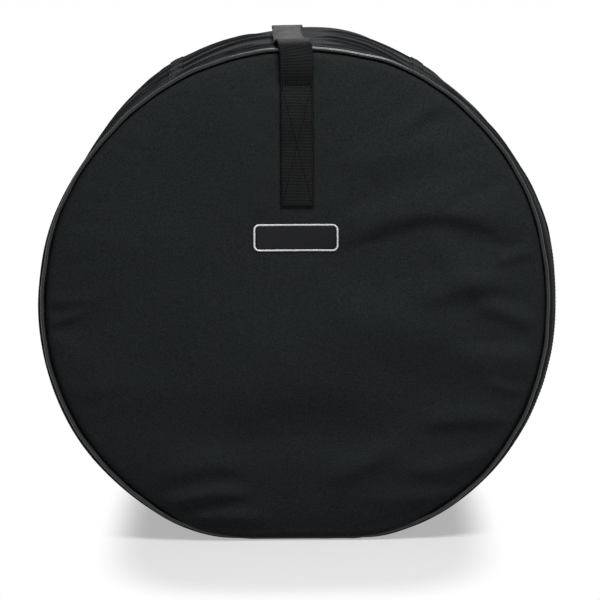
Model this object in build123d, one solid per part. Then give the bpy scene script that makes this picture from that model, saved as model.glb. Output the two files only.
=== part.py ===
from build123d import *
import math
import os

os.makedirs("parts", exist_ok=True)

# A soft padded case for a large drum: a round body lying on its curved wall, a lid on its
# front face that is hinged at the top, and a zipper round the rest of the lid.
# Millimetres, +Z up, the lid faces -Y, origin on the floor under the middle of the case.

# Whole case
body_radius = 300.0
body_depth = 424.0
lid_depth = 62.0

# The wall is round down to this angle from the top, then eases into a flat base
base_corner_angle = 139.0
base_corner_radius = 215.0

# Layers of the wall, from outside to inside
fabric_thickness = 1.5
foam_thickness = 8.0
lining_thickness = 1.0
layer_gap = 0.3

# Piping round both faces: a vinyl sleeve over a cord
piping_radius = 4.0
piping_sleeve_wall = 0.8

# Plain section between the two cross seams at the top, which bends when the lid opens
top_panel_half_angle = 30.0
hinge_drop = 20.0
hinge_rear_length = 40.0
lid_open_angle = 110.0
seam_tape_width = 18.0
seam_tape_thickness = 0.8

# Binding over the raw seam inside each face
binding_width = 4.0
binding_thickness = 2.0

# Zipper
coil_width = 2.6
coil_height = 2.6
coil_spread = 1.6
coil_sink = 0.6
tape_width = 15.2
tape_thickness = 0.8
tape_exposed = 8.0
hem_width = 7.7

# Zipper sliders, lengths along the zipper and heights away from it
slider_length = 27.0
slider_head_width = 14.0
slider_tail_width = 10.0
slider_plate = 1.4
slider_clearance = 0.4
slider_end_gap = 1.2
neck_thickness = 1.0
neck_length = 6.0
neck_setback = 1.0
meeting_angle = -87.0

# The arch on each slider and the pull that hangs from it
pivot_offset = 9.0
pull_bar_radius = 0.9
pull_length = 22.0
pull_root_width = 7.0
pull_tip_width = 9.0
pull_thickness = 1.6
pull_window_length = 4.1
pull_window_width = 4.0
pull_tip_round = 3.0
pull_hole_radius = 1.6
pull_hole_inset = 5.0
arch_width = 2.4
arch_bar_height = 1.4
arch_post_length = 1.4
arch_rear_gap = 0.3
arch_front_gap = 1.3

# Carry strap, sewn to both faces and loose over the top
strap_width = 40.0
strap_thickness = 2.5
strap_sewn_top = 43.0
strap_sewn_bottom = 186.0

# Box stitching that holds each end of the strap
thread_width = 1.2
thread_height = 0.6
thread_lift = 0.1
stitch_margin = 2.4
bartack_height = 8.0
bartack_rows = 4

# Patch sewn under the front end of the strap
patch_width = 100.0
patch_height = 33.0
patch_thickness = 1.2
patch_corner_radius = 5.0
patch_border = 2.0
patch_border_thickness = 1.6
patch_gap = 19.5

# Extra length that lets a cut run past what it cuts
overrun = 5.0

# Places that follow from the sizes above
half_depth = body_depth / 2
corner_shift = body_radius - base_corner_radius
corner_x = corner_shift * math.sin(math.radians(base_corner_angle))
corner_drop = corner_shift * -math.cos(math.radians(base_corner_angle))
centre_height = base_corner_radius + corner_drop
top_height = centre_height + body_radius
zip_y = lid_depth - half_depth

foam_outset = fabric_thickness + layer_gap
lining_outset = foam_outset + foam_thickness + layer_gap
inner_outset = lining_outset + lining_thickness + layer_gap

edge_setback = 2 * piping_radius + layer_gap
tape_outset = coil_sink + coil_height + layer_gap
tape_edge = coil_spread / 2
tape_far = tape_edge + tape_width
foam_stop = tape_far + layer_gap
hinge_rear_y = zip_y + hinge_rear_length


def outline(inset):
    """Face in the XZ plane: the outline of the case, moved inwards by inset."""
    radius = body_radius - inset
    corner = base_corner_radius - inset
    corner_turn = 180 - base_corner_angle
    round_part = CenterArc((0, centre_height), radius, 90 - base_corner_angle, 2 * base_corner_angle)
    right = CenterArc((corner_x, base_corner_radius), corner, -90, corner_turn)
    left_start = 90 + base_corner_angle
    left = CenterArc((-corner_x, base_corner_radius), corner, left_start, corner_turn)
    base = Line((-corner_x, inset), (corner_x, inset))
    return make_face([round_part, right, left, base])


def wedge(half_angle):
    """Face in the XZ plane: the slice of the case within half_angle of the top."""
    reach = 2 * body_radius
    side = reach * math.sin(math.radians(half_angle))
    rise = reach * math.cos(math.radians(half_angle))
    points = [
        (0, centre_height),
        (side, centre_height + rise),
        (-side, centre_height + rise),
    ]
    return make_face(Polyline(*points, close=True))


def between(face, front_y, rear_y):
    """Solid of the XZ face from front_y to rear_y."""
    return extrude(Plane.XZ.offset(-rear_y) * face, rear_y - front_y)


seam_gap_angle = math.degrees(layer_gap / 2 / body_radius)
under_top = wedge(top_panel_half_angle - seam_gap_angle)
beyond_top = wedge(top_panel_half_angle + seam_gap_angle)


def ring_face(outset, thickness):
    return outline(outset) - outline(outset + thickness)


def lower_ring(outset, thickness, front_y, rear_y):
    """The part of the wall that the zipper follows, from one cross seam to the other."""
    return between(ring_face(outset, thickness) - beyond_top, front_y, rear_y)


def top_ring(outset, thickness, front_y, rear_y):
    """The part of the wall between the two cross seams."""
    return between(ring_face(outset, thickness) & under_top, front_y, rear_y)


def to_rear(part):
    """The same piece on the back face."""
    return mirror(part, about=Plane.XZ)


def face_layer(outset, edge, thickness):
    """One flat layer of the front face, outset behind its outer surface."""
    front_y = outset - half_depth
    return between(outline(edge), front_y, front_y + thickness)


# Faces: fabric, foam and lining, front and back alike
def face_fabric():
    return face_layer(0, edge_setback, fabric_thickness)


def face_foam():
    return face_layer(foam_outset, edge_setback, foam_thickness)


def face_lining():
    return face_layer(lining_outset, inner_outset, lining_thickness)


def face_binding():
    """Binding tape over the seam where the lining of a face meets the lining of the wall."""
    front_y = inner_outset - half_depth
    return between(ring_face(inner_outset, binding_width), front_y, front_y + binding_thickness)


# Piping: swept round the outline, flush with the face and with the wall
piping_y = piping_radius - half_depth


def piping_tube(radius):
    path = (Plane.XZ.offset(-piping_y) * outline(piping_radius)).face().outer_wire()
    start = Plane(origin=path @ 0, z_dir=path % 0)
    return sweep(start * Circle(radius), path=path)


def piping_sleeve():
    return piping_tube(piping_radius) - piping_tube(piping_radius - piping_sleeve_wall)


def piping_cord():
    return piping_tube(piping_radius - piping_sleeve_wall - layer_gap)


# Lid skirt and wall: the fabric has a folded hem along the zipper
def hemmed_fabric(front_y, rear_y, hem_front_y):
    fabric = lower_ring(0, fabric_thickness, front_y, rear_y)
    hem_thickness = tape_outset - layer_gap - fabric_thickness
    hem = lower_ring(fabric_thickness, hem_thickness, hem_front_y, hem_front_y + hem_width)
    return fabric + hem


skirt_front_y = edge_setback - half_depth
skirt_rear_y = zip_y - tape_exposed
wall_front_y = zip_y + tape_exposed
wall_rear_y = half_depth - edge_setback
pad_front_y = lining_outset - half_depth
pad_rear_y = half_depth - lining_outset


def lid_skirt_fabric():
    return hemmed_fabric(skirt_front_y, skirt_rear_y, skirt_rear_y - hem_width)


def wall_fabric():
    return hemmed_fabric(wall_front_y, wall_rear_y, wall_front_y)


def zipper_tape(side):
    """Tape on one side of the zipper: side is -1 for the lid and 1 for the body."""
    ends = sorted([zip_y + side * tape_edge, zip_y + side * tape_far])
    return lower_ring(tape_outset, tape_thickness, *ends)


def zipper_coil(side):
    ends = sorted([zip_y + side * tape_edge, zip_y + side * (tape_edge + coil_width)])
    return lower_ring(coil_sink, coil_height, *ends)


def seam_tape(side, front_y, rear_y):
    """Tape over one cross seam: side is -1 for the left seam and 1 for the right seam."""
    outer = -layer_gap - seam_tape_thickness
    half_tape = math.degrees(seam_tape_width / 2 / body_radius)
    wide = wedge(top_panel_half_angle + half_tape) - wedge(top_panel_half_angle - half_tape)
    half_plane = Pos(side * body_radius, centre_height + body_radius) * Rectangle(
        2 * body_radius, 2 * body_radius
    )
    return between(ring_face(outer, seam_tape_thickness) & wide & half_plane, front_y, rear_y)


# Carry strap
strap_gap = layer_gap
strap_bend = piping_radius + strap_gap
strap_face_y = half_depth + strap_gap


def strap_profile(extra):
    """Face in the YZ plane: what the strap wraps, grown by extra."""
    half_width = strap_face_y + extra
    top = top_height + strap_gap + extra
    height = strap_sewn_bottom
    block = Pos(0, top - height) * Rectangle(2 * half_width, 2 * height)
    upper = block.vertices().group_by(Axis.Y)[-1]
    return Plane.YZ * fillet(upper, strap_bend + extra)


def strap_loose():
    """The stretch from one sewn end to the other, over both pipings."""
    band = strap_profile(strap_thickness) - strap_profile(0)
    keep = Pos(0, top_height) * Rectangle(2 * body_depth, 2 * strap_sewn_top)
    band = band & (Plane.YZ * keep)
    return extrude(band, strap_width / 2, both=True)


def strap_sewn():
    height = strap_sewn_bottom - strap_sewn_top - layer_gap
    bottom = top_height - strap_sewn_bottom
    y = -strap_face_y - strap_thickness / 2
    return Pos(0, y, bottom + height / 2) * Box(strap_width, strap_thickness, height)


def strap_threads():
    """Box and cross stitching with a dense bar across its top."""
    y = -strap_face_y - strap_thickness - thread_lift
    bottom = top_height - strap_sewn_bottom + stitch_margin
    top = top_height - strap_sewn_top - stitch_margin
    half = strap_width / 2 - stitch_margin
    bar_bottom = top - bartack_height
    corners = [(-half, bottom), (half, bottom), (half, bar_bottom), (-half, bar_bottom)]
    lines = [Line(corners[i], corners[(i + 1) % len(corners)]) for i in range(len(corners))]
    lines += [Line(corners[0], corners[2]), Line(corners[1], corners[3])]
    for row in range(bartack_rows):
        z = top - bartack_height * row / bartack_rows
        lines.append(Line((-half, z), (half, z)))
    threads = Sketch()
    for line in lines:
        middle = line @ 0.5
        angle = line.tangent_angle_at(0.5)
        threads += Pos(middle.X, middle.Y) * Rot(0, 0, angle) * SlotOverall(line.length, thread_width)
    return between(threads, y - thread_height, y)


# Patch and its stitched border
patch_drop = strap_sewn_bottom + patch_gap + patch_height / 2
patch_centre = Pos(0, top_height - patch_drop)
patch_y = -half_depth - layer_gap


def patch_body():
    inner = RectangleRounded(
        patch_width - 2 * (patch_border + layer_gap),
        patch_height - 2 * (patch_border + layer_gap),
        patch_corner_radius - patch_border - layer_gap,
    )
    return between(patch_centre * inner, patch_y - patch_thickness, patch_y)


def patch_rim():
    outer = RectangleRounded(patch_width, patch_height, patch_corner_radius)
    inner = RectangleRounded(
        patch_width - 2 * patch_border,
        patch_height - 2 * patch_border,
        patch_corner_radius - patch_border,
    )
    return between(patch_centre * (outer - inner), patch_y - patch_border_thickness, patch_y)


# Sliders, modelled at the top of the case and then turned round its centre.
# There x runs along the zipper and up when the slider is on the left of the case.
slider_base = centre_height + body_radius - coil_sink + slider_clearance
slider_top = slider_base + slider_plate
slider_floor = centre_height + body_radius - tape_outset - tape_thickness - slider_clearance
pivot_height = slider_top + slider_clearance + pull_bar_radius
slider_turn = math.degrees((slider_length + slider_end_gap) / 2 / body_radius)


def curved_plate(sketch, low, high):
    """The XY sketch as a plate between two heights, bent to the round of the case."""
    block = extrude(Plane.XY.offset(low - overrun) * sketch, high - low + 2 * overrun)
    rings = Circle(high - centre_height) - Circle(low - centre_height)
    bent = between(Pos(0, centre_height) * rings, zip_y - slider_length, zip_y + slider_length)
    return block & bent


def slider_sketch(head):
    """Plate outline, wider at its head: head is -1 or 1 along the zipper."""
    half = slider_length / 2
    points = [
        (-head * half, -slider_tail_width / 2),
        (0, -slider_head_width / 2),
        (head * half, -slider_head_width / 2),
        (head * half, slider_head_width / 2),
        (0, slider_head_width / 2),
        (-head * half, slider_tail_width / 2),
    ]
    return Pos(0, zip_y) * make_face(Polyline(*points, close=True))


def slider_body(head):
    """Two plates joined by a neck at the head, with an arch over the tail for the pull."""
    plates = curved_plate(slider_sketch(head), slider_base, slider_top)
    plates += curved_plate(slider_sketch(head), slider_floor - slider_plate, slider_floor)
    neck_x = head * (slider_length / 2 - neck_setback - neck_length / 2)
    neck_height = slider_top - slider_floor + slider_plate / 2
    neck_middle = (slider_top + slider_floor) / 2 - slider_plate / 2
    neck = Pos(neck_x, zip_y, neck_middle) * Box(neck_length, neck_thickness, neck_height)
    return plates + neck + slider_arch(head)


def slider_arch(head):
    """Arch whose bar the pull hangs from; the gap on the pull's side is the wider one."""
    pivot_x = -head * pivot_offset
    inner_high = pull_bar_radius + arch_rear_gap
    inner_low = -pull_bar_radius - arch_front_gap
    bar_base = pivot_height + pull_bar_radius + layer_gap
    foot = slider_top - slider_plate / 2
    height = bar_base + arch_bar_height - foot
    length = inner_high - inner_low + 2 * arch_post_length
    middle_x = pivot_x + (inner_high + inner_low) / 2
    block = Pos(middle_x, zip_y, foot + height / 2) * Box(length, arch_width, height)
    window_height = bar_base - foot
    window = Pos(middle_x, zip_y, foot + window_height / 2) * Box(
        inner_high - inner_low, 2 * arch_width, window_height
    )
    return block - window


def slider_pull(head):
    """Flat pull with a round bar under the arch; it hangs towards -x."""
    pivot_x = -head * pivot_offset
    plate_start = pull_bar_radius + pull_window_length
    points = [
        (0, -pull_root_width / 2),
        (-plate_start, -pull_root_width / 2),
        (-pull_length, -pull_tip_width / 2),
        (-pull_length, pull_tip_width / 2),
        (-plate_start, pull_root_width / 2),
        (0, pull_root_width / 2),
    ]
    plate = make_face(Polyline(*points, close=True))
    plate = fillet(plate.vertices().group_by(Axis.X)[0], pull_tip_round)
    window = Pos(-plate_start / 2, 0) * Rectangle(plate_start, pull_window_width)
    hole = Pos(pull_hole_inset - pull_length, 0) * Circle(pull_hole_radius)
    plate = extrude(plate - window - hole, pull_thickness / 2, both=True)
    bar = Rot(90, 0, 0) * Cylinder(pull_bar_radius, pull_root_width)
    return Pos(pivot_x, zip_y, pivot_height) * (plate + bar)


def turned(part, angle):
    """The piece turned round the middle of the case, clockwise seen from the front."""
    return Pos(0, 0, centre_height) * Rot(0, angle, 0) * Pos(0, 0, -centre_height) * part


upper_angle = meeting_angle + slider_turn
lower_angle = meeting_angle - slider_turn

pieces = {
    "front_panel_fabric": face_fabric(),
    "front_panel_foam": face_foam(),
    "front_panel_lining": face_lining(),
    "front_seam_binding": face_binding(),
    "front_piping_sleeve": piping_sleeve(),
    "front_piping_cord": piping_cord(),
    "lid_skirt_fabric": lid_skirt_fabric(),
    "lid_skirt_foam": lower_ring(foam_outset, foam_thickness, pad_front_y, zip_y - foam_stop),
    "lid_skirt_lining": lower_ring(
        lining_outset, lining_thickness, pad_front_y, zip_y - foam_stop
    ),
    "lid_seam_tape_left": seam_tape(-1, skirt_front_y, zip_y - layer_gap / 2),
    "lid_seam_tape_right": seam_tape(1, skirt_front_y, zip_y - layer_gap / 2),
    "zipper_tape_front": zipper_tape(-1),
    "zipper_coil_front": zipper_coil(-1),
    "strap_front_end": strap_sewn(),
    "strap_front_stitching": strap_threads(),
    "label_patch": patch_body(),
    "label_patch_border": patch_rim(),
    "hinge_panel": top_ring(0, fabric_thickness, skirt_front_y, hinge_rear_y - layer_gap),
    "hinge_lining": top_ring(
        lining_outset, lining_thickness, pad_front_y, hinge_rear_y - layer_gap
    ),
    "wall_fabric": wall_fabric(),
    "wall_foam": lower_ring(foam_outset, foam_thickness, zip_y + foam_stop, pad_rear_y),
    "wall_lining": lower_ring(lining_outset, lining_thickness, zip_y + foam_stop, pad_rear_y),
    "top_panel_fabric": top_ring(0, fabric_thickness, hinge_rear_y, wall_rear_y),
    "top_panel_foam": top_ring(foam_outset, foam_thickness, hinge_rear_y, pad_rear_y),
    "top_panel_lining": top_ring(lining_outset, lining_thickness, hinge_rear_y, pad_rear_y),
    "body_seam_tape_left": seam_tape(-1, zip_y + layer_gap / 2, wall_rear_y),
    "body_seam_tape_right": seam_tape(1, zip_y + layer_gap / 2, wall_rear_y),
    "zipper_tape_rear": zipper_tape(1),
    "zipper_coil_rear": zipper_coil(1),
    "back_panel_fabric": to_rear(face_fabric()),
    "back_panel_foam": to_rear(face_foam()),
    "back_panel_lining": to_rear(face_lining()),
    "back_seam_binding": to_rear(face_binding()),
    "back_piping_sleeve": to_rear(piping_sleeve()),
    "back_piping_cord": to_rear(piping_cord()),
    "carry_strap": strap_loose(),
    "strap_back_end": to_rear(strap_sewn()),
    "strap_back_stitching": to_rear(strap_threads()),
    "upper_zipper_slider": turned(slider_body(-1), upper_angle),
    "upper_zipper_pull": turned(slider_pull(-1), upper_angle),
    "lower_zipper_slider": turned(slider_body(1), lower_angle),
    "lower_zipper_pull": turned(slider_pull(1), lower_angle),
}

for name, piece in pieces.items():
    export_step(piece, os.path.join("parts", name + ".step"))

# Places that the joints use
hinge_height = top_height - hinge_drop
print("round centre z", centre_height, "top z", top_height)
print("lid hinge axis y", zip_y, "z", hinge_height, "opens", lid_open_angle)
for name, angle, head in [("upper", upper_angle, -1), ("lower", lower_angle, 1)]:
    pivot = turned(Pos(-head * pivot_offset, zip_y, pivot_height) * Sphere(pull_bar_radius), angle)
    print(name, "slider angle", angle, "pull pivot", pivot.center())
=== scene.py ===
import math

import bmesh
import bpy
import numpy as np
from mathutils import Matrix, Vector


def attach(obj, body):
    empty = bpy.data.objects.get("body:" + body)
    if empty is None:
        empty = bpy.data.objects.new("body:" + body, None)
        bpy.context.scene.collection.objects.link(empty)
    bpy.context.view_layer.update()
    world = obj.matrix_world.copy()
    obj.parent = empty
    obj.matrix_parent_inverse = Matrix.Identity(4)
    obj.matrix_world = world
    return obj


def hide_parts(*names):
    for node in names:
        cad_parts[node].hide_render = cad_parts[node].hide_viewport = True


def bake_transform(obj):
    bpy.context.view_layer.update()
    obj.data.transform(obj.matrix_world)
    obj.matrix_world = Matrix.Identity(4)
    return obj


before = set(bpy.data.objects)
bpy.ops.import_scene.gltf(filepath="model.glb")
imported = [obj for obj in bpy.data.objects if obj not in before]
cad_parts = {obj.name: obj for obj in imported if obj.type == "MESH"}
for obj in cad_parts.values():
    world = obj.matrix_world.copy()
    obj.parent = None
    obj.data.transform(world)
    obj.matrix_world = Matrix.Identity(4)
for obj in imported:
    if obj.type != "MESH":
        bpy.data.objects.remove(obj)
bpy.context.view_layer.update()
print("frame loaded,", len(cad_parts), "parts")

mm = 0.001

# the camera sits low in front of the bag and looks slightly down at it
view = {
    "place": (0.004, -4.644, 0.8686), "pitch": -7.5, "turn": 0.03, "roll": -0.35,
    "lens": 230.2, "sensor": 36, "farClip": 200,
}


def addObject(name, data):
    thing = bpy.data.objects.new(name, data)
    bpy.context.scene.collection.objects.link(thing)
    return thing


def rotation(degrees, axis):
    return Matrix.Rotation(math.radians(degrees), 4, axis)


def addCamera():
    data = bpy.data.cameras.new("productCamera")
    data.lens = view["lens"]
    data.sensor_width = view["sensor"]
    data.clip_end = view["farClip"]
    camera = addObject("productCamera", data)
    aimed = rotation(view["turn"], "Z") @ rotation(90 + view["pitch"], "X") @ rotation(view["roll"], "Z")
    camera.matrix_world = Matrix.Translation(view["place"]) @ aimed
    bpy.context.scene.camera = camera
    bpy.context.scene.view_settings.view_transform = "Standard"


studio = {
    "floorSize": 60.0,
    "floorZ": -0.0004,
    "floorColour": (0.60, 0.60, 0.60),
    "floorGlow": 0.42,  # share of plain white that the eye sees in the floor
    "shadeMiddle": (0, -0.11, 0),  # the floor keeps its shade round here and is plain white beyond
    "shadeReach": (0.212, 0.40),
    "fadeFrom": 0.7,
    "fadeTo": 1.3,
    "worldLight": 0.18,
    "softboxes": [
        {"place": (0.35, -1.15, 1.95), "aim": (0, 0, 0.35), "size": 0.8, "power": 46},
        {"place": (0.2, 1.6, 2.6), "aim": (0, 0, 0.4), "size": 1.5, "power": 56},
    ],
}


def startTree(owner):
    owner.use_nodes = True
    owner.node_tree.nodes.clear()
    return owner.node_tree


def addNode(tree, kind, inputs=None, **settings):
    # inputs go by socket name or number: a socket is linked and a plain value is set
    node = tree.nodes.new(kind)
    for name, value in settings.items():
        setattr(node, name, value)
    for socket, value in (inputs or {}).items():
        if isinstance(value, bpy.types.NodeSocket):
            tree.links.new(value, node.inputs[socket])
        else:
            node.inputs[socket].default_value = value
    return node


def maths(tree, operation, *values, **settings):
    step = addNode(tree, "ShaderNodeMath", dict(enumerate(values)), operation=operation, **settings)
    return step.outputs[0]


def vectorMaths(tree, operation, *values):
    return addNode(tree, "ShaderNodeVectorMath", dict(enumerate(values)), operation=operation)


def whiteToTheEye(tree):
    # one for rays from the eye and for reflections, zero for light that falls on things
    path = addNode(tree, "ShaderNodeLightPath").outputs
    seen = maths(tree, "ADD", path["Is Camera Ray"], path["Is Glossy Ray"])
    return maths(tree, "ADD", seen, path["Is Transmission Ray"], use_clamp=True)


def lightWorld():
    world = bpy.data.worlds.new("studioLight")
    bpy.context.scene.world = world
    tree = startTree(world)
    soft, white = (
        addNode(tree, "ShaderNodeBackground", {"Color": (1, 1, 1, 1), "Strength": strength}).outputs[0]
        for strength in (studio["worldLight"], 1)
    )
    mix = addNode(tree, "ShaderNodeMixShader", {0: whiteToTheEye(tree), 1: soft, 2: white})
    addNode(tree, "ShaderNodeOutputWorld", {0: mix.outputs[0]})


def floorPaper():
    # plain white to the eye away from the bag, and a matt paper that takes the shade round it
    paper = bpy.data.materials.new("floorPaper")
    tree = startTree(paper)
    place = addNode(tree, "ShaderNodeTexCoord").outputs["Object"]
    reach = (*studio["shadeReach"], 1)
    shift = addNode(tree, "ShaderNodeMapping", {
        "Vector": place,
        "Location": [-m / r for m, r in zip(studio["shadeMiddle"], reach)],
        "Scale": [1 / r for r in reach],
    }).outputs[0]
    squared = vectorMaths(tree, "MULTIPLY", shift, shift).outputs[0]
    fade = addNode(tree, "ShaderNodeMapRange", {
        "Value": vectorMaths(tree, "LENGTH", squared).outputs["Value"],
        "From Min": studio["fadeFrom"], "From Max": studio["fadeTo"], "To Min": studio["floorGlow"],
    }, interpolation_type="SMOOTHSTEP").outputs[0]
    matt = addNode(tree, "ShaderNodeBsdfDiffuse", {"Color": (*studio["floorColour"], 1)}).outputs[0]
    glow = addNode(tree, "ShaderNodeEmission", {"Strength": 1}).outputs[0]
    share = maths(tree, "MULTIPLY", fade, whiteToTheEye(tree))
    mix = addNode(tree, "ShaderNodeMixShader", {0: share, 1: matt, 2: glow})
    addNode(tree, "ShaderNodeOutputMaterial", {0: mix.outputs[0]})
    return paper


def layFloor():
    half = studio["floorSize"] / 2
    mesh = bpy.data.meshes.new("studioFloor")
    corners = [(-half, -half, 0), (half, -half, 0), (half, half, 0), (-half, half, 0)]
    mesh.from_pydata(corners, [], [(0, 1, 2, 3)])
    mesh.materials.append(floorPaper())
    floor = addObject("studioFloor", mesh)
    floor.location.z = studio["floorZ"]


def hangSoftboxes():
    for index, box in enumerate(studio["softboxes"]):
        data = bpy.data.lights.new("softbox%d" % index, "AREA")
        data.size = box["size"]
        data.energy = box["power"]
        lamp = addObject("softbox%d" % index, data)
        lamp.location = box["place"]
        aim = Vector(box["aim"]) - Vector(box["place"])
        lamp.rotation_euler = aim.to_track_quat("-Z", "Y").to_euler()


addCamera()
lightWorld()
layFloor()
hangSoftboxes()
print("camera, floor and light in place")

# the outline of the bag
bag = {
    "radius": 0.300,  # round part of the wall
    "baseAngle": 139.0,  # degrees from the top where it eases into the flat base
    "baseRadius": 0.215,
    "faceY": 0.212,  # how far the two faces stand from the middle
    "zipY": -0.150,
    "seamAngle": 30.0,  # the two cross seams over the top
    "hingeSeamY": -0.110,
    "floorEase": 1.2 * mm,
    "innerShare": 0.55,  # the inner side of the padding follows this much of the sag
}

turnRad = math.radians(bag["baseAngle"])
cornerX = (bag["radius"] - bag["baseRadius"]) * math.sin(turnRad)
centreZ = bag["baseRadius"] - (bag["radius"] - bag["baseRadius"]) * math.cos(turnRad)
roundRun = bag["radius"] * turnRad
cornerRun = bag["baseRadius"] * (math.pi - turnRad)
halfRun = roundRun + cornerRun + cornerX
fullRun = 2 * halfRun
seamRun = bag["radius"] * math.radians(bag["seamAngle"])
zipY = bag["zipY"]


def ease(x):
    x = np.clip(x, 0, 1)
    return x * x * (3 - 2 * x)


def bell(gap, wide):
    return np.exp(-((gap / wide) ** 2))


def named(fields, rows):
    # a table as one dictionary for each row
    return [dict(zip(fields, row)) for row in rows]


def wrapRun(s):
    return (np.asarray(s, float) + halfRun) % fullRun - halfRun


def clockOf(s):
    # degrees from the top, to the right as seen from the front
    run = wrapRun(s)
    far = np.abs(run)
    bend = np.where(far <= roundRun, far / bag["radius"], turnRad + (far - roundRun) / bag["baseRadius"])
    return np.sign(run) * np.degrees(np.minimum(bend, math.pi))


def wallPoint(s, inset):
    # x, z and the outward direction of the outline, s metres along it from the top
    run = wrapRun(s)
    side = np.where(run < 0, -1.0, 1.0)
    clock = np.radians(clockOf(run))
    nx, nz = np.sin(clock), np.cos(clock)
    onRound = np.abs(run) <= roundRun
    slide = np.clip(np.abs(run) - roundRun - cornerRun, 0, None)
    middleX = np.where(onRound, 0, side * (cornerX - slide))
    middleZ = np.where(onRound, centreZ, bag["baseRadius"])
    reach = np.where(onRound, bag["radius"], bag["baseRadius"]) - inset
    return middleX + reach * nx, middleZ + reach * nz, nx, nz


def clockCurve(rows, clock, spread=8.5):
    # smooth curve through (degrees, millimetres) pairs, closed round the clock
    total = 0
    weight = 0
    for degrees, value in rows:
        share = bell((clock - degrees + 180) % 360 - 180, spread) + 1e-9
        total = total + share * value
        weight = weight + share
    return total / weight * mm


# how far the soft wall strays from the round, in millimetres by clock angle
sag = {
    "frontRim": [
        (0, 2), (8, 2.5), (23, 6), (31, 5.5), (39, 3), (47, 1.5), (60, 0.5), (71, -1.5),
        (79, -5.5), (87, -6), (104, -5), (112, -2.5), (120, -2), (130, -0.5), (147, -1.5),
        (158, -1.5), (172, 0), (-172, 0), (-156, 0), (-144, -2), (-135, -2), (-127, 0.5),
        (-119, 2), (-102, 2.5), (-94, 3), (-86, 1.5), (-71, 2.5), (-55, 1.5), (-47, -0.5),
        (-39, 1), (-24, 1.5), (-10, 1.5),
    ],
    "backRim": [
        (0, -2), (6, 2), (12, 3), (18, 1), (24, -8), (31, -15), (38, -13), (46, -10), (54, -5),
        (72, -1), (90, -3), (120, 0), (150, -1), (180, 0), (-150, -1), (-110, 1), (-90, -1), (-54, -3),
        (-44, -2), (-37, -3), (-29, -5), (-20, -3), (-8, -5),
    ],
    "belly": [
        (0, -3.5), (13, -4), (22, -8), (30, -16), (38, -14), (46, -10), (54, -3), (64, 3), (75, 7.5),
        (82, 6.5), (90, 5.5), (102, 7.5), (108, 9), (116, 10.5), (124, 9.5), (132, 10),
        (143, 9), (152, 8), (163, 6), (180, 1), (-163, 7), (-150, 8), (-140, 10),
        (-131, 11), (-122, 12), (-115, 10.5), (-108, 8), (-98, 6), (-88, 5), (-77, 4),
        (-66, -2), (-58, -7), (-50, -6), (-40, -3), (-31, -7), (-22, -5), (-12, -5),
    ],
    "bellyLean": 0.75,  # under one, the belly is fullest in front of the middle
    "rimGap": 4 * mm,
    "rimReach": 0.070,
    "rimTuck": 3.2 * mm,
    "tuckReach": 9 * mm,
    "slackRate": 2.2,  # creases come in this many times sooner than the rim's own line fades
    "skirtPuff": 1.6 * mm,
    "zipPinch": 1.4 * mm,
    "pinchWide": 9 * mm,
    "baseReach": 0.06,  # the hills fade out this far before the middle of the base
}

# the sliders run here, so the zipper keeps to its true round; fade is in degrees
zipRun = {"clock": (-150, -33), "fade": 7, "calm": 10 * mm, "ease": 16 * mm}

# creases across the wall; lift and width are in millimetres
wallCreases = named(("y", "clock", "lift", "wide", "slant"), [
    (0.080, (44, 116), -3.8, 8, 0.0005),
    (-0.030, (-152, -100), -3.8, 7, 0.0007),
    (0.040, (-128, -92), -3.0, 6, -0.0010),
    (0.110, (-146, -96), -3.2, 7, -0.0007),
    (-0.050, (102, 154), -3.8, 7, -0.0007),
    (0.024, (96, 136), -3.0, 6, 0.0010),
    (0.124, (108, 150), -3.0, 6, 0.0006),
])

# laps in the cloth over the top: each rises sharply towards the back and then eases down again;
# rise and fade are in millimetres
wallLaps = named(("y", "clock", "rise", "fade", "slant"), [
    (-0.177, (-31, -2), 3.0, 34, 0.0002),
    (-0.117, (-31, -1), 4.4, 52, -0.0003),
    (-0.050, (-36, -7), 2.6, 44, 0.0008),
    (0.026, (-40, -2), 3.8, 60, 0.0007),
    (0.094, (-44, -4), 3.2, 48, -0.0004),
    (0.150, (-38, -8), 2.4, 36, -0.0006),
    (-0.172, (2, 33), 3.0, 34, 0.0003),
    (-0.120, (1, 34), 3.2, 36, 0.0004),
    (-0.082, (6, 38), 2.6, 40, 0.0012),
    (-0.026, (3, 43), 3.4, 50, -0.0009),
    (0.042, (2, 41), 3.6, 46, 0.0008),
    (0.096, (5, 46), 2.6, 44, -0.0004),
    (0.148, (3, 40), 3.0, 34, 0.0003),
    (-0.106, (-72, -24), 2.4, 36, 0.0010),
    (-0.062, (-62, -26), 2.2, 34, 0.0019),
    (-0.006, (-80, -27), 2.8, 50, -0.0008),
    (0.064, (-90, -26), 2.6, 46, -0.0006),
    (0.124, (-76, -25), 2.2, 40, 0.0007),
    (-0.090, (25, 72), 2.4, 36, -0.0012),
    (-0.042, (27, 94), 2.8, 44, -0.0005),
    (0.030, (26, 76), 2.6, 44, 0.0010),
    (0.098, (28, 104), 2.4, 44, 0.0005),
])
# steep shapes a lap; dark, pale, paleBehind and fullRise set its painted shade and painted highlight
lap = {"steep": 3.4 * mm, "dark": 5.5 * mm, "pale": 7 * mm, "paleBehind": 1.9, "fullRise": 3.6}
lineEnds = 3  # a lap or crease fades over the last third of its half length
# painted shade in the creases and along the seam behind the piping, and painted highlight on the ridges
creaseShade = {"wide": 1.3, "full": 5.0, "dark": 0.64, "pale": 0.85, "seam": 7 * mm, "seamY": 0.2065}

# hills and hollows in the cloth: height and size in millimetres, turn of their grid, seed
wallHills = [(1.0, 110, 30, 21), (0.6, 56, 70, 22), (0.3, 27, 45, 23)]
faceHills = [(1.6, 150, 20, 3), (1.0, 74, 65, 5), (0.5, 38, 40, 8), (0.22, 19, 75, 13)]
hillGrid = 96


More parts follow.
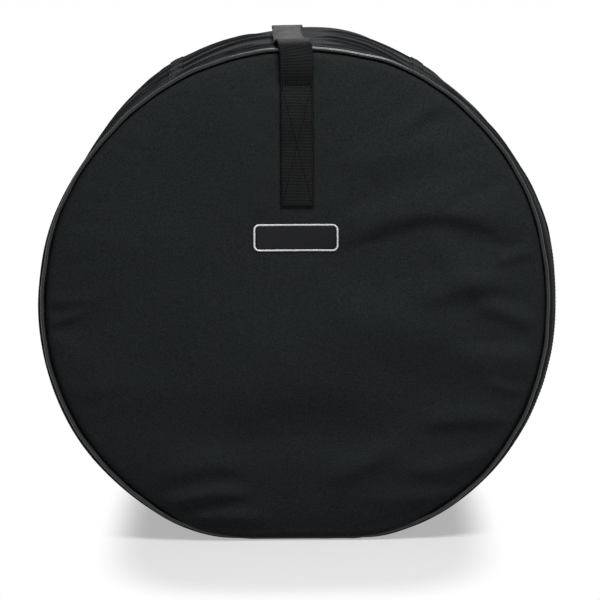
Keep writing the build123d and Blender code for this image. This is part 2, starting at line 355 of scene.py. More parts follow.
def hills(u, v, rows):
    # the same on each run
    total = 0
    for height, size, turned, seed in rows:
        rolls = np.random.RandomState(seed).uniform(-1, 1, (hillGrid, hillGrid))
        turn = math.radians(turned)
        gu = (u * math.cos(turn) - v * math.sin(turn)) / (size * mm) + hillGrid // 2
        gv = (u * math.sin(turn) + v * math.cos(turn)) / (size * mm) + hillGrid // 2
        iu, iv = np.floor(gu).astype(int), np.floor(gv).astype(int)
        fu, fv = ease(gu - iu), ease(gv - iv)
        u0, u1, v0, v1 = iu % hillGrid, (iu + 1) % hillGrid, iv % hillGrid, (iv + 1) % hillGrid
        near = rolls[u0, v0] * (1 - fu) + rolls[u1, v0] * fu
        far = rolls[u0, v1] * (1 - fu) + rolls[u1, v1] * fu
        total = total + height * mm * (near * (1 - fv) + far * fv)
    return total


def lapLine(row, clock):
    # where a lap or crease runs at this clock angle, and how much of it is left there
    start, end = row["clock"]
    middle = (start + end) / 2
    along = np.clip(1 - np.abs(clock - middle) / ((end - start) / 2), 0, 1)
    return row["y"] + row["slant"] * (clock - middle), ease(along * lineEnds)


def wallOut(s, y):
    # how far the outer cloth stands out from the true round, in metres
    clock = clockOf(s)
    y = np.asarray(y, float)
    rimY = bag["faceY"] - sag["rimGap"]
    front = (y + rimY) / sag["rimReach"]
    back = (rimY - y) / sag["rimReach"]
    out = clockCurve(sag["frontRim"], clock) * (1 - ease(front))
    out = out + clockCurve(sag["backRim"], clock) * (1 - ease(back))
    deep = np.clip((y + rimY) / (2 * rimY), 0, 1)
    out = out + clockCurve(sag["belly"], clock) * np.sin(math.pi * deep ** sag["bellyLean"])
    skirt = np.clip((y + rimY) / (zipY + rimY), 0, 1)
    out = out + sag["skirtPuff"] * np.sin(math.pi * skirt)
    out = out - sag["zipPinch"] * bell(y - zipY, sag["pinchWide"])
    slack = ease(front * sag["slackRate"]) * ease(back * sag["slackRate"])
    for crease in wallCreases:
        line, along = lapLine(crease, clock)
        out = out + crease["lift"] * mm * bell(y - line, crease["wide"] * mm) * along * slack
    for row in wallLaps:
        line, along = lapLine(row, clock)
        behind = y - line
        rise = ease(behind / lap["steep"] + 0.5) * np.exp(-np.clip(behind, 0, None) / (row["fade"] * mm))
        out = out + row["rise"] * mm * rise * along * slack
    offBase = ease((halfRun - np.abs(wrapRun(s))) / sag["baseReach"])
    out = out + hills(wrapRun(s), y, wallHills) * slack * offBase
    start, end = zipRun["clock"]
    near = 1 - ease((np.abs(y - zipY) - zipRun["calm"]) / zipRun["ease"])
    onRun = ease((clock - start) / zipRun["fade"]) * ease((end - clock) / zipRun["fade"])
    return out * (1 - near * onRun)


def wallPaintedLight(s, y):
    # painted shade down in each crease and along the seam behind the piping, and a painted highlight
    # along each ridge
    clock = clockOf(s)
    paintedLight = -bell(creaseShade["seamY"] - np.abs(y), creaseShade["seam"])
    for crease in wallCreases:
        line, along = lapLine(crease, clock)
        depth = np.clip(crease["lift"] / creaseShade["full"], -1, 1)
        paintedLight = paintedLight + depth * bell(y - line, crease["wide"] * creaseShade["wide"] * mm) * along
    for row in wallLaps:
        line, along = lapLine(row, clock)
        dark = bell(y - line, lap["dark"])
        pale = bell(y - line - lap["paleBehind"] * lap["dark"], lap["pale"])
        paintedLight = paintedLight + (pale - dark) * along * row["rise"] / lap["fullRise"]
    return np.clip(paintedLight, -1, 1)


def restOnFloor(z):
    soft = bag["floorEase"]
    return 0.5 * (z + np.sqrt(z * z + soft * soft))


def wallPlace(s, y, inset=0.0, share=1.0):
    s, y, inset = np.broadcast_arrays(np.asarray(s, float), y, inset)
    x, z = wallPoint(s, inset - wallOut(s, y) * share)[:2]
    return np.stack([x, y, restOnFloor(z)], -1)


# folds in the two faces: a line through three x, z points from left to right, how high its ridge
# stands and how far the cloth eases off above and below it, all in millimetres
foldFields = ("line", "lift", "above", "below")
frontFolds = named(foldFields, [
    ([(41, 347), (154, 392), (272, 357)], 11.0, 30, 15),
    ([(56, 434), (120, 457), (191, 464)], 5.8, 20, 28),
    ([(110, 473), (137, 495), (168, 517)], 4.3, 12, 9),
    ([(161, 371), (180, 329), (233, 303)], 4.9, 17, 19),
    ([(140, 278), (183, 299), (258, 304)], 8.2, 22, 14),
    ([(210, 282), (244, 271), (281, 252)], 6.8, 10, 13),
    ([(176, 226), (232, 214), (279, 222)], 7.4, 16, 24),
    ([(233, 329), (252, 335), (279, 343)], 3.9, 8, 8),
    ([(8, 262), (110, 262), (206, 226)], 9.6, 30, 46),
    ([(-146, 170), (-8, 192), (120, 178)], 8.8, 96, 46),
    ([(-118, 112), (-14, 128), (112, 120)], -5.0, 42, 24),
    ([(-174, 70), (-117, 92), (-57, 88)], 6.4, 20, 13),
    ([(-168, 38), (-112, 57), (-58, 56)], 7.4, 9, 7),
    ([(-132, 24), (-90, 32), (-36, 26)], 5.2, 7, 9),
    ([(33, 73), (79, 96), (122, 115)], 5.4, 14, 14),
    ([(137, 138), (195, 146), (244, 140)], 6.1, 18, 10),
    ([(114, 87), (177, 88), (229, 112)], 5.4, 12, 14),
    ([(73, 52), (131, 51), (183, 55)], 4.3, 10, 16),
    ([(219, 188), (241, 181), (267, 169)], 3.9, 8, 7),
    ([(-289, 258), (-274, 264), (-248, 274)], 5.2, 7, 7),
    ([(-292, 288), (-268, 285), (-238, 292)], 4.6, 10, 9),
    ([(-292, 268), (-258, 256), (-226, 236)], -5.4, 38, 24),
    ([(-273, 191), (-204, 177), (-123, 182)], 3.6, 24, 23),
    ([(-262, 343), (-192, 359), (-111, 354)], 2.9, 26, 30),
])
backFolds = named(foldFields, [
    ([(-210, 352), (-130, 384), (-60, 372)], 4.1, 28, 15),
    ([(40, 300), (130, 316), (226, 296)], 3.4, 34, 18),
    ([(-236, 238), (-140, 222), (-48, 236)], 3.1, 38, 20),
    ([(20, 176), (110, 160), (200, 176)], 3.1, 34, 18),
    ([(-178, 92), (-90, 112), (10, 98)], 3.4, 28, 15),
    ([(90, 56), (150, 74), (202, 106)], 3.1, 25, 13),
    ([(60, 440), (130, 452), (196, 420)], 2.6, 32, 17),
    ([(-150, 460), (-100, 440), (-50, 448)], 2.2, 28, 15),
])
foldEnds = {"steps": 13, "runOut": 9.0, "past": 0.12, "fade": 0.42}

face = {
    "inset": 6.8 * mm,  # from the outline to where the face is sewn to the piping
    "crown": 4.4 * mm,
    "crownReach": 0.120,
    "crownFull": 2.4,
    "dome": 3.0 * mm,
    "tuck": 4.8 * mm,
    "tuckReach": 4.6 * mm,
    "foldFrom": 1 * mm,
    "foldReach": 0.016,
    "hillFrom": 4 * mm,
    "hillReach": 0.05,
    "backShift": 2.4,  # the back takes its hills from another part of the same pattern
    "lowInset": 3.4 * mm,  # along the flat base the face comes down over the piping
    "lowClock": 148,
    "lowFade": 16,
    "innerY": 0.2024,
    "innerDip": 0.4 * mm,
    "cells": 124,
    "finer": 1.12,  # over one, the cells are a little smaller towards the rim
    "fill": 0.4,
}


def foldHeight(fold, x, z):
    (ax, az), (mx, mz), (cx, cz) = fold["line"]
    bx, bz = 2 * mx - (ax + cx) / 2, 2 * mz - (az + cz) / 2
    t = np.linspace(0, 1, foldEnds["steps"])
    px = ((1 - t) ** 2 * ax + 2 * t * (1 - t) * bx + t**2 * cx) * mm
    pz = ((1 - t) ** 2 * az + 2 * t * (1 - t) * bz + t**2 * cz) * mm
    best = np.full(np.shape(x), 1e9)
    aside = np.zeros(np.shape(x))
    along = np.zeros(np.shape(x))
    count = len(t) - 1
    for i in range(count):
        dx, dz = px[i + 1] - px[i], pz[i + 1] - pz[i]
        length = math.hypot(dx, dz)
        dx, dz = dx / length, dz / length
        share = ((x - px[i]) * dx + (z - pz[i]) * dz) / length
        low = -foldEnds["runOut"] if i == 0 else 0.0
        high = foldEnds["runOut"] if i == count - 1 else 1.0
        share = np.clip(share, low, high)
        ex, ez = x - px[i] - share * length * dx, z - pz[i] - share * length * dz
        gap = np.hypot(ex, ez)
        closer = gap < best
        best = np.where(closer, gap, best)
        aside = np.where(closer, ez * dx - ex * dz, aside)
        along = np.where(closer, (i + share) / count, along)
    past, fade = foldEnds["past"], foldEnds["fade"]
    taper = ease((along + past) / fade) * ease((1 + past - along) / fade)
    wide = np.where(aside > 0, fold["above"], fold["below"]) * mm
    return fold["lift"] * mm * bell(aside, wide) * taper


def edgeDistance(x, z):
    # how far a point of a face lies inside the outline
    inRound = bag["radius"] - np.hypot(x, z - centreZ)
    clock = np.degrees(np.arctan2(np.abs(x), z - centreZ))
    toCorner = np.hypot(np.abs(x) - cornerX, z - bag["baseRadius"])
    inCorner = np.where(np.abs(x) <= cornerX, z, bag["baseRadius"] - toCorner)
    return np.where(clock <= bag["baseAngle"], inRound, inCorner)


def faceRise(x, z, inside, folds, shift=0.0):
    # how far a face stands out from its flat, in metres
    reach = np.clip(inside / face["crownReach"], 0, 1)
    rise = face["crown"] * (1 - (1 - reach) ** face["crownFull"])
    rise = rise + face["dome"] * (1 - np.clip(1 - inside / bag["radius"], 0, 1) ** 2)
    rise = rise - face["tuck"] * (1 - ease(inside / face["tuckReach"]))
    for fold in folds:
        rise = rise + foldHeight(fold, x, z) * ease((inside - face["foldFrom"]) / face["foldReach"])
    onHills = ease((inside - face["hillFrom"]) / face["hillReach"])
    return rise + hills(x + shift, z, faceHills) * onHills


def frontSurface(x, z):
    return -bag["faceY"] - faceRise(x, z, edgeDistance(x, z) - face["inset"], frontFolds)


def backSurface(x, z):
    rise = faceRise(x, z, edgeDistance(x, z) - face["inset"], backFolds, face["backShift"])
    return bag["faceY"] + rise


print("outline and folds ready")

# what most of the cloths share
clothLook = {
    "varied": 0.2, "rough": 0.6, "sheenRough": 0.4, "sheenTint": (0.85, 0.85, 0.88),
    "bump": 0.5, "depth": 0.25 * mm, "grain": 1500, "ribbed": True, "takesPaintedLight": False,
}
finishes = {
    "canvas": {
        "slot": "black_canvas", "colour": (0.0152, 0.0174, 0.0183), "varied": 0.05, "rough": 0.70,
        "sheen": 0.006, "sheenRough": 0.36, "sheenTint": (0.80, 0.88, 0.92), "specular": 0.012,
        "weave": 0.85 * mm, "bump": 0.30, "depth": 0.22 * mm, "grain": 1400,
        "ribbed": False, "takesPaintedLight": True,
    },
    "lining": {
        "slot": "lining", "colour": (0.030, 0.031, 0.034), "rough": 0.55,
        "sheen": 0.12, "sheenTint": (0.8, 0.8, 0.85), "specular": 0.4,
        "weave": 0.6 * mm, "bump": 0.25, "depth": 0.12 * mm, "grain": 1900, "ribbed": False,
    },
    "webbing": {
        "slot": "webbing", "colour": (0.0028, 0.0031, 0.0036), "varied": 0.3, "rough": 0.48,
        "sheen": 0.006, "sheenRough": 0.34, "sheenTint": (0.85, 0.90, 0.94), "specular": 0.062,
        "weave": 1.7 * mm, "bump": 0.75, "depth": 0.5 * mm, "grain": 1100,
    },
    "binding": {
        "slot": "binding", "colour": (0.0148, 0.0168, 0.0177), "varied": 0.1, "rough": 0.70,
        "sheen": 0.006, "sheenTint": (0.85, 0.88, 0.90), "specular": 0.012,
        "weave": 1.0 * mm, "takesPaintedLight": True,
    },
    "zipTape": {
        "slot": "zipper_tape", "colour": (0.0075, 0.0078, 0.0082), "varied": 0.25, "rough": 0.66,
        "sheen": 0.05, "specular": 0.15, "weave": 0.7 * mm, "depth": 0.18 * mm, "grain": 1700,
    },
    "patch": {
        "slot": "patch", "colour": (0.0095, 0.0099, 0.0108),
        "sheen": 0.02, "specular": 0.08, "weave": 0.75 * mm,
    },
    "patchEdge": {
        "slot": "patch_edge", "colour": (0.620, 0.625, 0.635), "varied": 0.25,
        "sheen": 0.1, "sheenTint": (0.9, 0.9, 0.9), "specular": 0.3,
        "weave": 0.9 * mm, "bump": 0.6, "depth": 0.3 * mm,
    },
    "thread": {
        "slot": "thread", "colour": (0.0032, 0.0034, 0.0040), "varied": 0.3, "rough": 0.5,
        "sheen": 0.01, "sheenTint": (0.9, 0.9, 0.9), "specular": 0.04,
        "weave": 0.5 * mm, "bump": 0.4, "depth": 0.15 * mm, "grain": 2200,
    },
}


def startFinish(name, look):
    mat = bpy.data.materials.new(name)
    tree = startTree(mat)
    sockets = {
        "Roughness": look["rough"], "Specular IOR Level": look["specular"],
        "Metallic": look.get("metal", 0),
    }
    if "sheen" in look:
        sockets["Sheen Weight"] = look["sheen"]
        sockets["Sheen Roughness"] = look["sheenRough"]
        sockets["Sheen Tint"] = (*look["sheenTint"], 1)
    skin = addNode(tree, "ShaderNodeBsdfPrincipled", sockets)
    addNode(tree, "ShaderNodeOutputMaterial", {0: skin.outputs[0]})
    return mat, tree, skin


def attribute(tree, name, output):
    return addNode(tree, "ShaderNodeAttribute", attribute_name=name).outputs[output]


def noise(tree, place, scale, detail=2.0, rough=0.5):
    sockets = {"Vector": place, "Scale": scale, "Detail": detail, "Roughness": rough}
    return addNode(tree, "ShaderNodeTexNoise", sockets).outputs["Fac"]


def spread(tree, value, low, high, fromLow=0.3, fromHigh=0.7):
    sockets = {"Value": value, "From Min": fromLow, "From Max": fromHigh, "To Min": low, "To Max": high}
    return addNode(tree, "ShaderNodeMapRange", sockets).outputs[0]


def tinted(tree, skin, colour, amount):
    # the colour of the finish, scaled by amount
    shade = addNode(tree, "ShaderNodeVectorMath", {0: colour, "Scale": amount}, operation="SCALE")
    tree.links.new(shade.outputs[0], skin.inputs["Base Color"])


def roughened(tree, skin, value, rough, less, more):
    tree.links.new(spread(tree, value, rough - less, rough + more), skin.inputs["Roughness"])


def bumped(tree, skin, height, strength, depth):
    bump = addNode(tree, "ShaderNodeBump", {"Strength": strength, "Distance": depth, "Height": height})
    tree.links.new(bump.outputs[0], skin.inputs["Normal"])


# shared by all that is woven; scales are in waves per metre and the rest are shares
weaving = {
    "weftShare": 0.62, "yarns": 0.18, "fuzz": 0.6, "gaps": (0.78, 1.12), "broadScale": 7.0,
    "blotchScale": 560.0, "blotch": (0.74, 1.26), "lintScale": 420.0, "lint": 0.9,
    "roughScale": 18.0, "roughVaried": 0.07,
}


def wovenFinish(name, look):
    # every piece of cloth carries its own flat pattern in metres
    mat, tree, skin = startFinish(name, look)
    place = attribute(tree, "cloth", "Vector")
    split = addNode(tree, "ShaderNodeSeparateXYZ", {0: place}).outputs
    step = math.pi / look["weave"]
    weftStep = step * (weaving["weftShare"] if look["ribbed"] else 1.0)
    warp = maths(tree, "SINE", maths(tree, "MULTIPLY", split["X"], step))
    weft = maths(tree, "SINE", maths(tree, "MULTIPLY", split["Y"], weftStep))
    if look["ribbed"]:
        yarns = maths(tree, "MULTIPLY", maths(tree, "ABSOLUTE", weft), weaving["yarns"])
        weave = maths(tree, "ADD", maths(tree, "ABSOLUTE", warp), yarns)
    else:
        crossing = maths(tree, "MULTIPLY", warp, weft)
        weave = maths(tree, "ADD", maths(tree, "MULTIPLY", crossing, 0.5), 0.5)
    fuzz = maths(tree, "MULTIPLY", noise(tree, place, look["grain"], 3.0, 0.6), weaving["fuzz"])
    bumped(tree, skin, maths(tree, "ADD", weave, fuzz), look["bump"], look["depth"])
    # broad wear, smaller blotches and the dark gaps between yarns
    varied = look["varied"]
    broad = spread(tree, noise(tree, place, weaving["broadScale"], 3.0, 0.55), 1 - varied, 1 + varied)
    blotch = noise(tree, place, weaving["blotchScale"], 3.0, 0.7)
    blotch = spread(tree, blotch, *weaving["blotch"], 0.40, 0.60)
    yarn = spread(tree, weave, *weaving["gaps"], 0.0, 1.0)
    amount = maths(tree, "MULTIPLY", maths(tree, "MULTIPLY", broad, blotch), yarn)
    # painted shade in creases and grooves and a painted highlight on ridges, carried in the mesh, darken
    # and lighten the colour
    if look["takesPaintedLight"]:
        paintedLight = attribute(tree, "paintedLight", "Fac")
        dark = spread(tree, paintedLight, 1 - creaseShade["dark"], 1, -1, 0)
        pale = spread(tree, paintedLight, 1, 1 + creaseShade["pale"], 0, 1)
        amount = maths(tree, "MULTIPLY", amount, maths(tree, "MULTIPLY", dark, pale))
    lint = spread(tree, noise(tree, place, weaving["lintScale"]), 0.0, weaving["lint"], 0.70, 0.80)
    tinted(tree, skin, look["colour"], maths(tree, "ADD", amount, lint))
    varied = weaving["roughVaried"]
    roughened(tree, skin, noise(tree, place, weaving["roughScale"], 3.0), look["rough"], varied, varied)
    return mat


vinylLook = {
    "slot": "vinyl", "colour": (0.0056, 0.0062, 0.0068), "rough": 0.22, "specular": 0.38,
    "puckers": 200, "grain": 1500, "grainShare": 0.25, "bump": 0.07, "depth": 0.3 * mm,
    "stretch": (1.0, 0.35, 0.35),
    "scuffScale": 34.0, "scuffs": (0.85, 1.5), "roughScale": 48.0, "roughVaried": (0.06, 0.16),
}


def vinylFinish(name, look):
    # a soft satin skin with small puckers across it and scuffed patches
    mat, tree, skin = startFinish(name, look)
    place = attribute(tree, "cloth", "Vector")
    stretched = vectorMaths(tree, "MULTIPLY", place, look["stretch"]).outputs[0]
    puckers = noise(tree, stretched, look["puckers"], 3.0, 0.55)
    grain = maths(tree, "MULTIPLY", noise(tree, place, look["grain"]), look["grainShare"])
    bumped(tree, skin, maths(tree, "ADD", puckers, grain), look["bump"], look["depth"])
    scuffs = spread(tree, noise(tree, place, look["scuffScale"], 5.0, 0.65), *look["scuffs"], 0.45, 0.75)
    tinted(tree, skin, look["colour"], scuffs)
    hazy = noise(tree, place, look["roughScale"], 4.0, 0.6)
    roughened(tree, skin, hazy, look["rough"], *look["roughVaried"])
    return mat


coilLook = {
    "slot": "zipper_coil", "colour": (0.014, 0.014, 0.015), "rough": 0.34, "specular": 0.5,
    "wornScale": 300.0, "worn": (0.8, 1.5), "roughScale": 500.0, "roughVaried": (0.06, 0.12),
    "grain": 2600, "bump": 0.2, "depth": 0.1 * mm,
}


def coilFinish(name, look):
    mat, tree, skin = startFinish(name, look)
    place = attribute(tree, "cloth", "Vector")
    worn = spread(tree, noise(tree, place, look["wornScale"], 3.0, 0.6), *look["worn"], 0.4, 0.75)
    tinted(tree, skin, look["colour"], worn)
    roughened(tree, skin, noise(tree, place, look["roughScale"]), look["rough"], *look["roughVaried"])
    bumped(tree, skin, noise(tree, place, look["grain"]), look["bump"], look["depth"])
    return mat


metalLook = {
    "slot": "slider_metal", "colour": (0.030, 0.030, 0.032), "plain": 0.8, "worn": 1.19,
    "rough": 0.34, "specular": 0.5, "metal": 0.85,
    "stretch": (1.0, 1.0, 0.18), "streakScale": 900.0, "streaks": (0.8, 1.2),
    "rubbedScale": 170.0, "roughVaried": (0.06, 0.12), "bump": 0.12, "depth": 0.08 * mm,
}


def metalFinish(name, look):
    # black plated metal, rubbed paler in fine streaks along the pull
    mat, tree, skin = startFinish(name, look)
    place = addNode(tree, "ShaderNodeTexCoord").outputs["Object"]
    stretched = vectorMaths(tree, "MULTIPLY", place, look["stretch"]).outputs[0]
    streaks = noise(tree, stretched, look["streakScale"], 4.0, 0.65)
    rubbed = spread(tree, noise(tree, place, look["rubbedScale"], 4.0, 0.6), 0.0, 1.0, 0.48, 0.72)
    amount = maths(tree, "ADD", look["plain"], maths(tree, "MULTIPLY", rubbed, look["worn"]))
    amount = maths(tree, "MULTIPLY", amount, spread(tree, streaks, *look["streaks"]))
    tinted(tree, skin, look["colour"], amount)
    roughened(tree, skin, streaks, look["rough"], *look["roughVaried"])
    bumped(tree, skin, streaks, look["bump"], look["depth"])
    return mat


materials = {name: wovenFinish(name + "Cloth", {**clothLook, **look}) for name, look in finishes.items()}
slots = {name: look["slot"] for name, look in finishes.items()}
for name, look, maker in (
    ("vinyl", vinylLook, vinylFinish),
    ("coil", coilLook, coilFinish),
    ("metal", metalLook, metalFinish),
):
    materials[name] = maker(name + "Skin", look)
    slots[name] = look["slot"]
print("finishes made:", ", ".join(sorted(materials)))


def makePiece(name, points, faces, cloth, finish, sharp=48, paintedLight=None):
    mesh = bpy.data.meshes.new(name)
    mesh.from_pydata(np.asarray(points).reshape(-1, 3).tolist(), [], [tuple(f) for f in faces])
    work = bmesh.new()
    work.from_mesh(mesh)
    bmesh.ops.recalc_face_normals(work, faces=work.faces)
    work.to_mesh(mesh)
    work.free()
    mesh.polygons.foreach_set("use_smooth", [True] * len(mesh.polygons))
    mesh.set_sharp_from_angle(angle=math.radians(sharp))
    pattern = mesh.attributes.new("cloth", "FLOAT_VECTOR", "POINT")
    pattern.data.foreach_set("vector", np.asarray(cloth, np.float32).reshape(-1))
    # the painted shade and painted highlight that the colour takes from the mesh
    if paintedLight is not None:
        worn = mesh.attributes.new("paintedLight", "FLOAT", "POINT")
        worn.data.foreach_set("value", np.asarray(paintedLight, np.float32).reshape(-1))
    mesh.materials.append(materials[finish])
    piece = addObject(name, mesh)
    return piece


def flatOn(u, v):
    # the flat pattern of a cloth: where its threads lie, in metres
    return np.stack([u, v, u * 0], -1)


def quadsOf(grid):
    return np.stack([grid[:-1, :-1], grid[1:, :-1], grid[1:, 1:], grid[:-1, 1:]], -1).reshape(-1, 4)


def bridge(first, second):
    return np.stack([first[:-1], first[1:], second[1:], second[:-1]], -1)


def shellParts(outer, inner, cloth):
    # points, faces and pattern of a closed sheet between two grids
    rows, cols = outer.shape[:2]
    index = np.arange(rows * cols).reshape(rows, cols)
    under = index + rows * cols
    faces = [
        quadsOf(index), quadsOf(under)[:, ::-1],
        bridge(index[:, 0], under[:, 0]), bridge(under[:, -1], index[:, -1]),
        bridge(under[0], index[0]), bridge(index[-1], under[-1]),
    ]
    points = np.concatenate([outer.reshape(-1, 3), inner.reshape(-1, 3)])
    return points, np.concatenate(faces), np.concatenate([cloth.reshape(-1, 3)] * 2)


def joinParts(parts):
    starts = np.cumsum([0] + [len(part[0]) for part in parts])
    points = np.concatenate([part[0] for part in parts])
    faces = np.concatenate([part[1] + start for part, start in zip(parts, starts)])
    return points, faces, np.concatenate([part[2] for part in parts])


closest = 0.45 * mm


def spaced(start, end, step, fine=()):
    # even steps with some finer ones near both ends, and none closer than that
    count = max(2, int(round((end - start) / step)))
    values = list(np.linspace(start, end, count + 1))
    values += [start + f for f in fine] + [end - f for f in fine]
    values = sorted(values)
    kept = [values[0]]
    for value in values[1:]:
        if value - kept[-1] > closest:
            kept.append(value)
    kept[-1] = end
    return np.array(kept)


tubeGirth = 0.004  # the pattern runs on this far round a tube for each radian


def turnsOf(sides):
    return np.linspace(0, 2 * math.pi, sides, endpoint=False)


def tubeParts(centre, first, second, radius, sides, cloth, loop=False):
    turn = turnsOf(sides)
    radius = np.broadcast_to(radius, (len(centre), sides))
    ring = first[:, None] * np.cos(turn)[None, :, None] + second[:, None] * np.sin(turn)[None, :, None]
    points = centre[:, None] + ring * radius[..., None]
    index = np.arange(len(centre) * sides).reshape(len(centre), sides)
    index = np.hstack([index, index[:, :1]])
    if loop:
        index = np.vstack([index, index[:1]])
    faces = [tuple(f) for f in quadsOf(index)]
    if not loop:
        faces += [tuple(index[0, :-1]), tuple(index[-1, :-1])]
    pattern = np.repeat(cloth[:, None], sides, 1).copy()
    pattern[..., 1] += turn[None] * tubeGirth
    return points.reshape(-1, 3), faces, pattern.reshape(-1, 3)


def ringSides(nx, nz, side):
    # for a tube round the bag: outward, and along the depth of the bag
    return np.stack([nx, nx * 0, nz], -1), np.stack([nx * 0, nx * 0 + side, nz * 0], -1)


def ovalRadius(turn, wide, thick):
    return 1 / np.sqrt((np.cos(turn) / (wide / 2)) ** 2 + (np.sin(turn) / (thick / 2)) ** 2)


seam = {"pitch": 4.3 * mm, "length": 3.3 * mm, "width": 0.42 * mm, "height": 0.34 * mm}
# along one stitch: where it is, how high it stands and how thick it is, as shares
stitch = {
    "stops": (0.0, 0.2, 0.8, 1.0), "lifts": (-0.15, 1.0, 1.0, -0.15), "sizes": (0.45, 1.0, 1.0, 0.45),
    "lead": 0.12,  # a row starts with this much of a gap
}


def stitchRow(place, start, end, look=seam):
    # a row of single stitches; place(u, lift) gives points on the cloth
    count = max(1, int((end - start) / look["pitch"]))
    starts = start + (np.arange(count) + stitch["lead"]) * (end - start) / count
    lifts = np.array(stitch["lifts"]) * look["height"]
    sizes = np.array(stitch["sizes"])[None, :, None]
    u = starts[:, None] + np.array(stitch["stops"])[None] * look["length"]
    centre = place(u, np.broadcast_to(lifts, u.shape))
    middle = starts + look["length"] / 2
    up = place(middle, np.full(count, mm)) - place(middle, np.zeros(count))
    up /= np.linalg.norm(up, axis=-1, keepdims=True)
    along = centre[:, -1] - centre[:, 0]
    along /= np.linalg.norm(along, axis=-1, keepdims=True)
    side = np.cross(along, up)
    corners = []
    for a, b in ((1, 0), (0, 1), (-1, 0), (0, -1)):
        step = a * side[:, None] * look["width"] + b * up[:, None] * look["height"]
        corners.append(centre + step * sizes)
    points = np.stack(corners, 2).reshape(-1, 3)
    base = np.arange(16).reshape(4, 4)  # four rings of four corners
    one = np.concatenate([quadsOf(np.hstack([base, base[:, :1]])), base[:1], base[-1:, ::-1]])
    faces = (one[None] + 16 * np.arange(count)[:, None, None]).reshape(-1, 4)
    cloth = np.repeat(u[:, :, None], 4, 2).reshape(-1)
    aside = np.tile([0, 0.3 * mm, 0.6 * mm, 0.9 * mm], count * 4)
    return points, faces, np.stack([cloth, aside, cloth * 0], -1)


threads = {"lid": [], "case": [], "hinge": []}


def bendAtHinge(piece):
    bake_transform(piece)


# padded wall, lid skirt, hinge and top
wallPadding = {
    "runStep": 6.0 * mm,
    "depthStep": 2.4 * mm,
    "topSteps": (4.2 * mm, 1.92 * mm),  # the top has smaller cells both ways
    "rimY": 0.2042,
    "zipGap": 8 * mm,  # from the middle of the zipper to the hems
    "seamGap": 0.3 * mm,
    "padThick": 9.7 * mm,
    "hemThick": 3.2 * mm,
    "hemWide": 15 * mm,
    "hemFade": 5 * mm,
    "hemRound": 1.1 * mm,
    "hemBlunt": 0.98,
    "hemRows": (2.6 * mm, 9.6 * mm),  # two rows of stitches along each hem
    "rowSunk": 0.35 * mm,
    "rowWide": 1.0 * mm,
    "rowEnd": 10 * mm,  # the rows stop this far from the cross seams
    "threadSunk": 0.3 * mm,
    "fineRows": [gap * mm for gap in (0.5, 1.1, 2.0, 3.2, 4.6, 6.4, 8.4, 9.6, 11)],
    "fill": 0.45,
}


def wallPiece(name, parts):
    cloth = parts[2]
    # the wall takes painted shade in its creases and behind the piping and a painted highlight on its
    # ridges
    return makePiece(name, *parts, "canvas", paintedLight=wallPaintedLight(cloth[:, 0], cloth[:, 1]))


def paddedBand(runs, depths, tucks, hems):
    # a closed padded band of wall; tucks and hems say what its two long edges do
    s, y = np.meshgrid(runs, depths, indexing="ij")
    inset = np.zeros(s.shape)
    under = np.full(s.shape, wallPadding["padThick"])
    for edge, tucked, hemmed in zip((depths[0], depths[-1]), tucks, hems):
        gap = np.abs(y - edge)
        if tucked:
            inset = inset + sag["rimTuck"] * (1 - ease(gap / sag["tuckReach"]))
        if hemmed:
            roundOff = np.clip(1 - gap / wallPadding["hemRound"], 0, 1)
            left = np.sqrt(1 - roundOff**2 * wallPadding["hemBlunt"])
            inset = inset + wallPadding["hemRound"] * (1 - left)
            for row in wallPadding["hemRows"]:
                inset = inset + wallPadding["rowSunk"] * bell(gap - row, wallPadding["rowWide"])
            thin = 1 - ease((gap - wallPadding["hemWide"]) / wallPadding["hemFade"])
            under = under - (wallPadding["padThick"] - wallPadding["hemThick"]) * thin
    outer = wallPlace(s, y, inset)
    inner = wallPlace(s, y, under, bag["innerShare"])
    return shellParts(outer, inner, np.stack([s, y, inset], -1))


seamGap = wallPadding["seamGap"]
lowRuns = spaced(seamRun + seamGap, fullRun - seamRun - seamGap, wallPadding["runStep"])
topRuns = spaced(-seamRun + seamGap, seamRun - seamGap, wallPadding["topSteps"][0])
skirtFrontY, skirtRearY = -wallPadding["rimY"], zipY - wallPadding["zipGap"]
wallFrontY, wallRearY = zipY + wallPadding["zipGap"], wallPadding["rimY"]


def buildWall():
    fine = wallPadding["fineRows"]
    depths = spaced(skirtFrontY, skirtRearY, wallPadding["depthStep"], fine)
    skirt = wallPiece("lidSkirtPad", paddedBand(lowRuns, depths, (1, 0), (0, 1)))
    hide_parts("lid_skirt_fabric", "lid_skirt_foam")
    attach(skirt, "lid")

    depths = spaced(wallFrontY, wallRearY, wallPadding["depthStep"], fine)
    wall = wallPiece("wallPad", paddedBand(lowRuns, depths, (0, 1), (1, 0)))
    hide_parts("wall_fabric", "wall_foam")
    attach(wall, "case")

    depths = spaced(bag["hingeSeamY"], wallRearY, wallPadding["topSteps"][1], fine)
    top = wallPiece("topPanelPad", paddedBand(topRuns, depths, (0, 1), (0, 0)))
    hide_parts("top_panel_fabric", "top_panel_foam")
    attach(top, "case")

    sewFrom, sewTo = seamRun + wallPadding["rowEnd"], fullRun - seamRun - wallPadding["rowEnd"]
    sunk = wallPadding["threadSunk"]
    for body, edge, side in (("lid", skirtRearY, -1), ("case", wallFrontY, 1)):
        for row in wallPadding["hemRows"]:
            y = edge + side * row
            threads[body].append(
                stitchRow(lambda u, lift, y=y: wallPlace(u, y, sunk - lift), sewFrom, sewTo)
            )


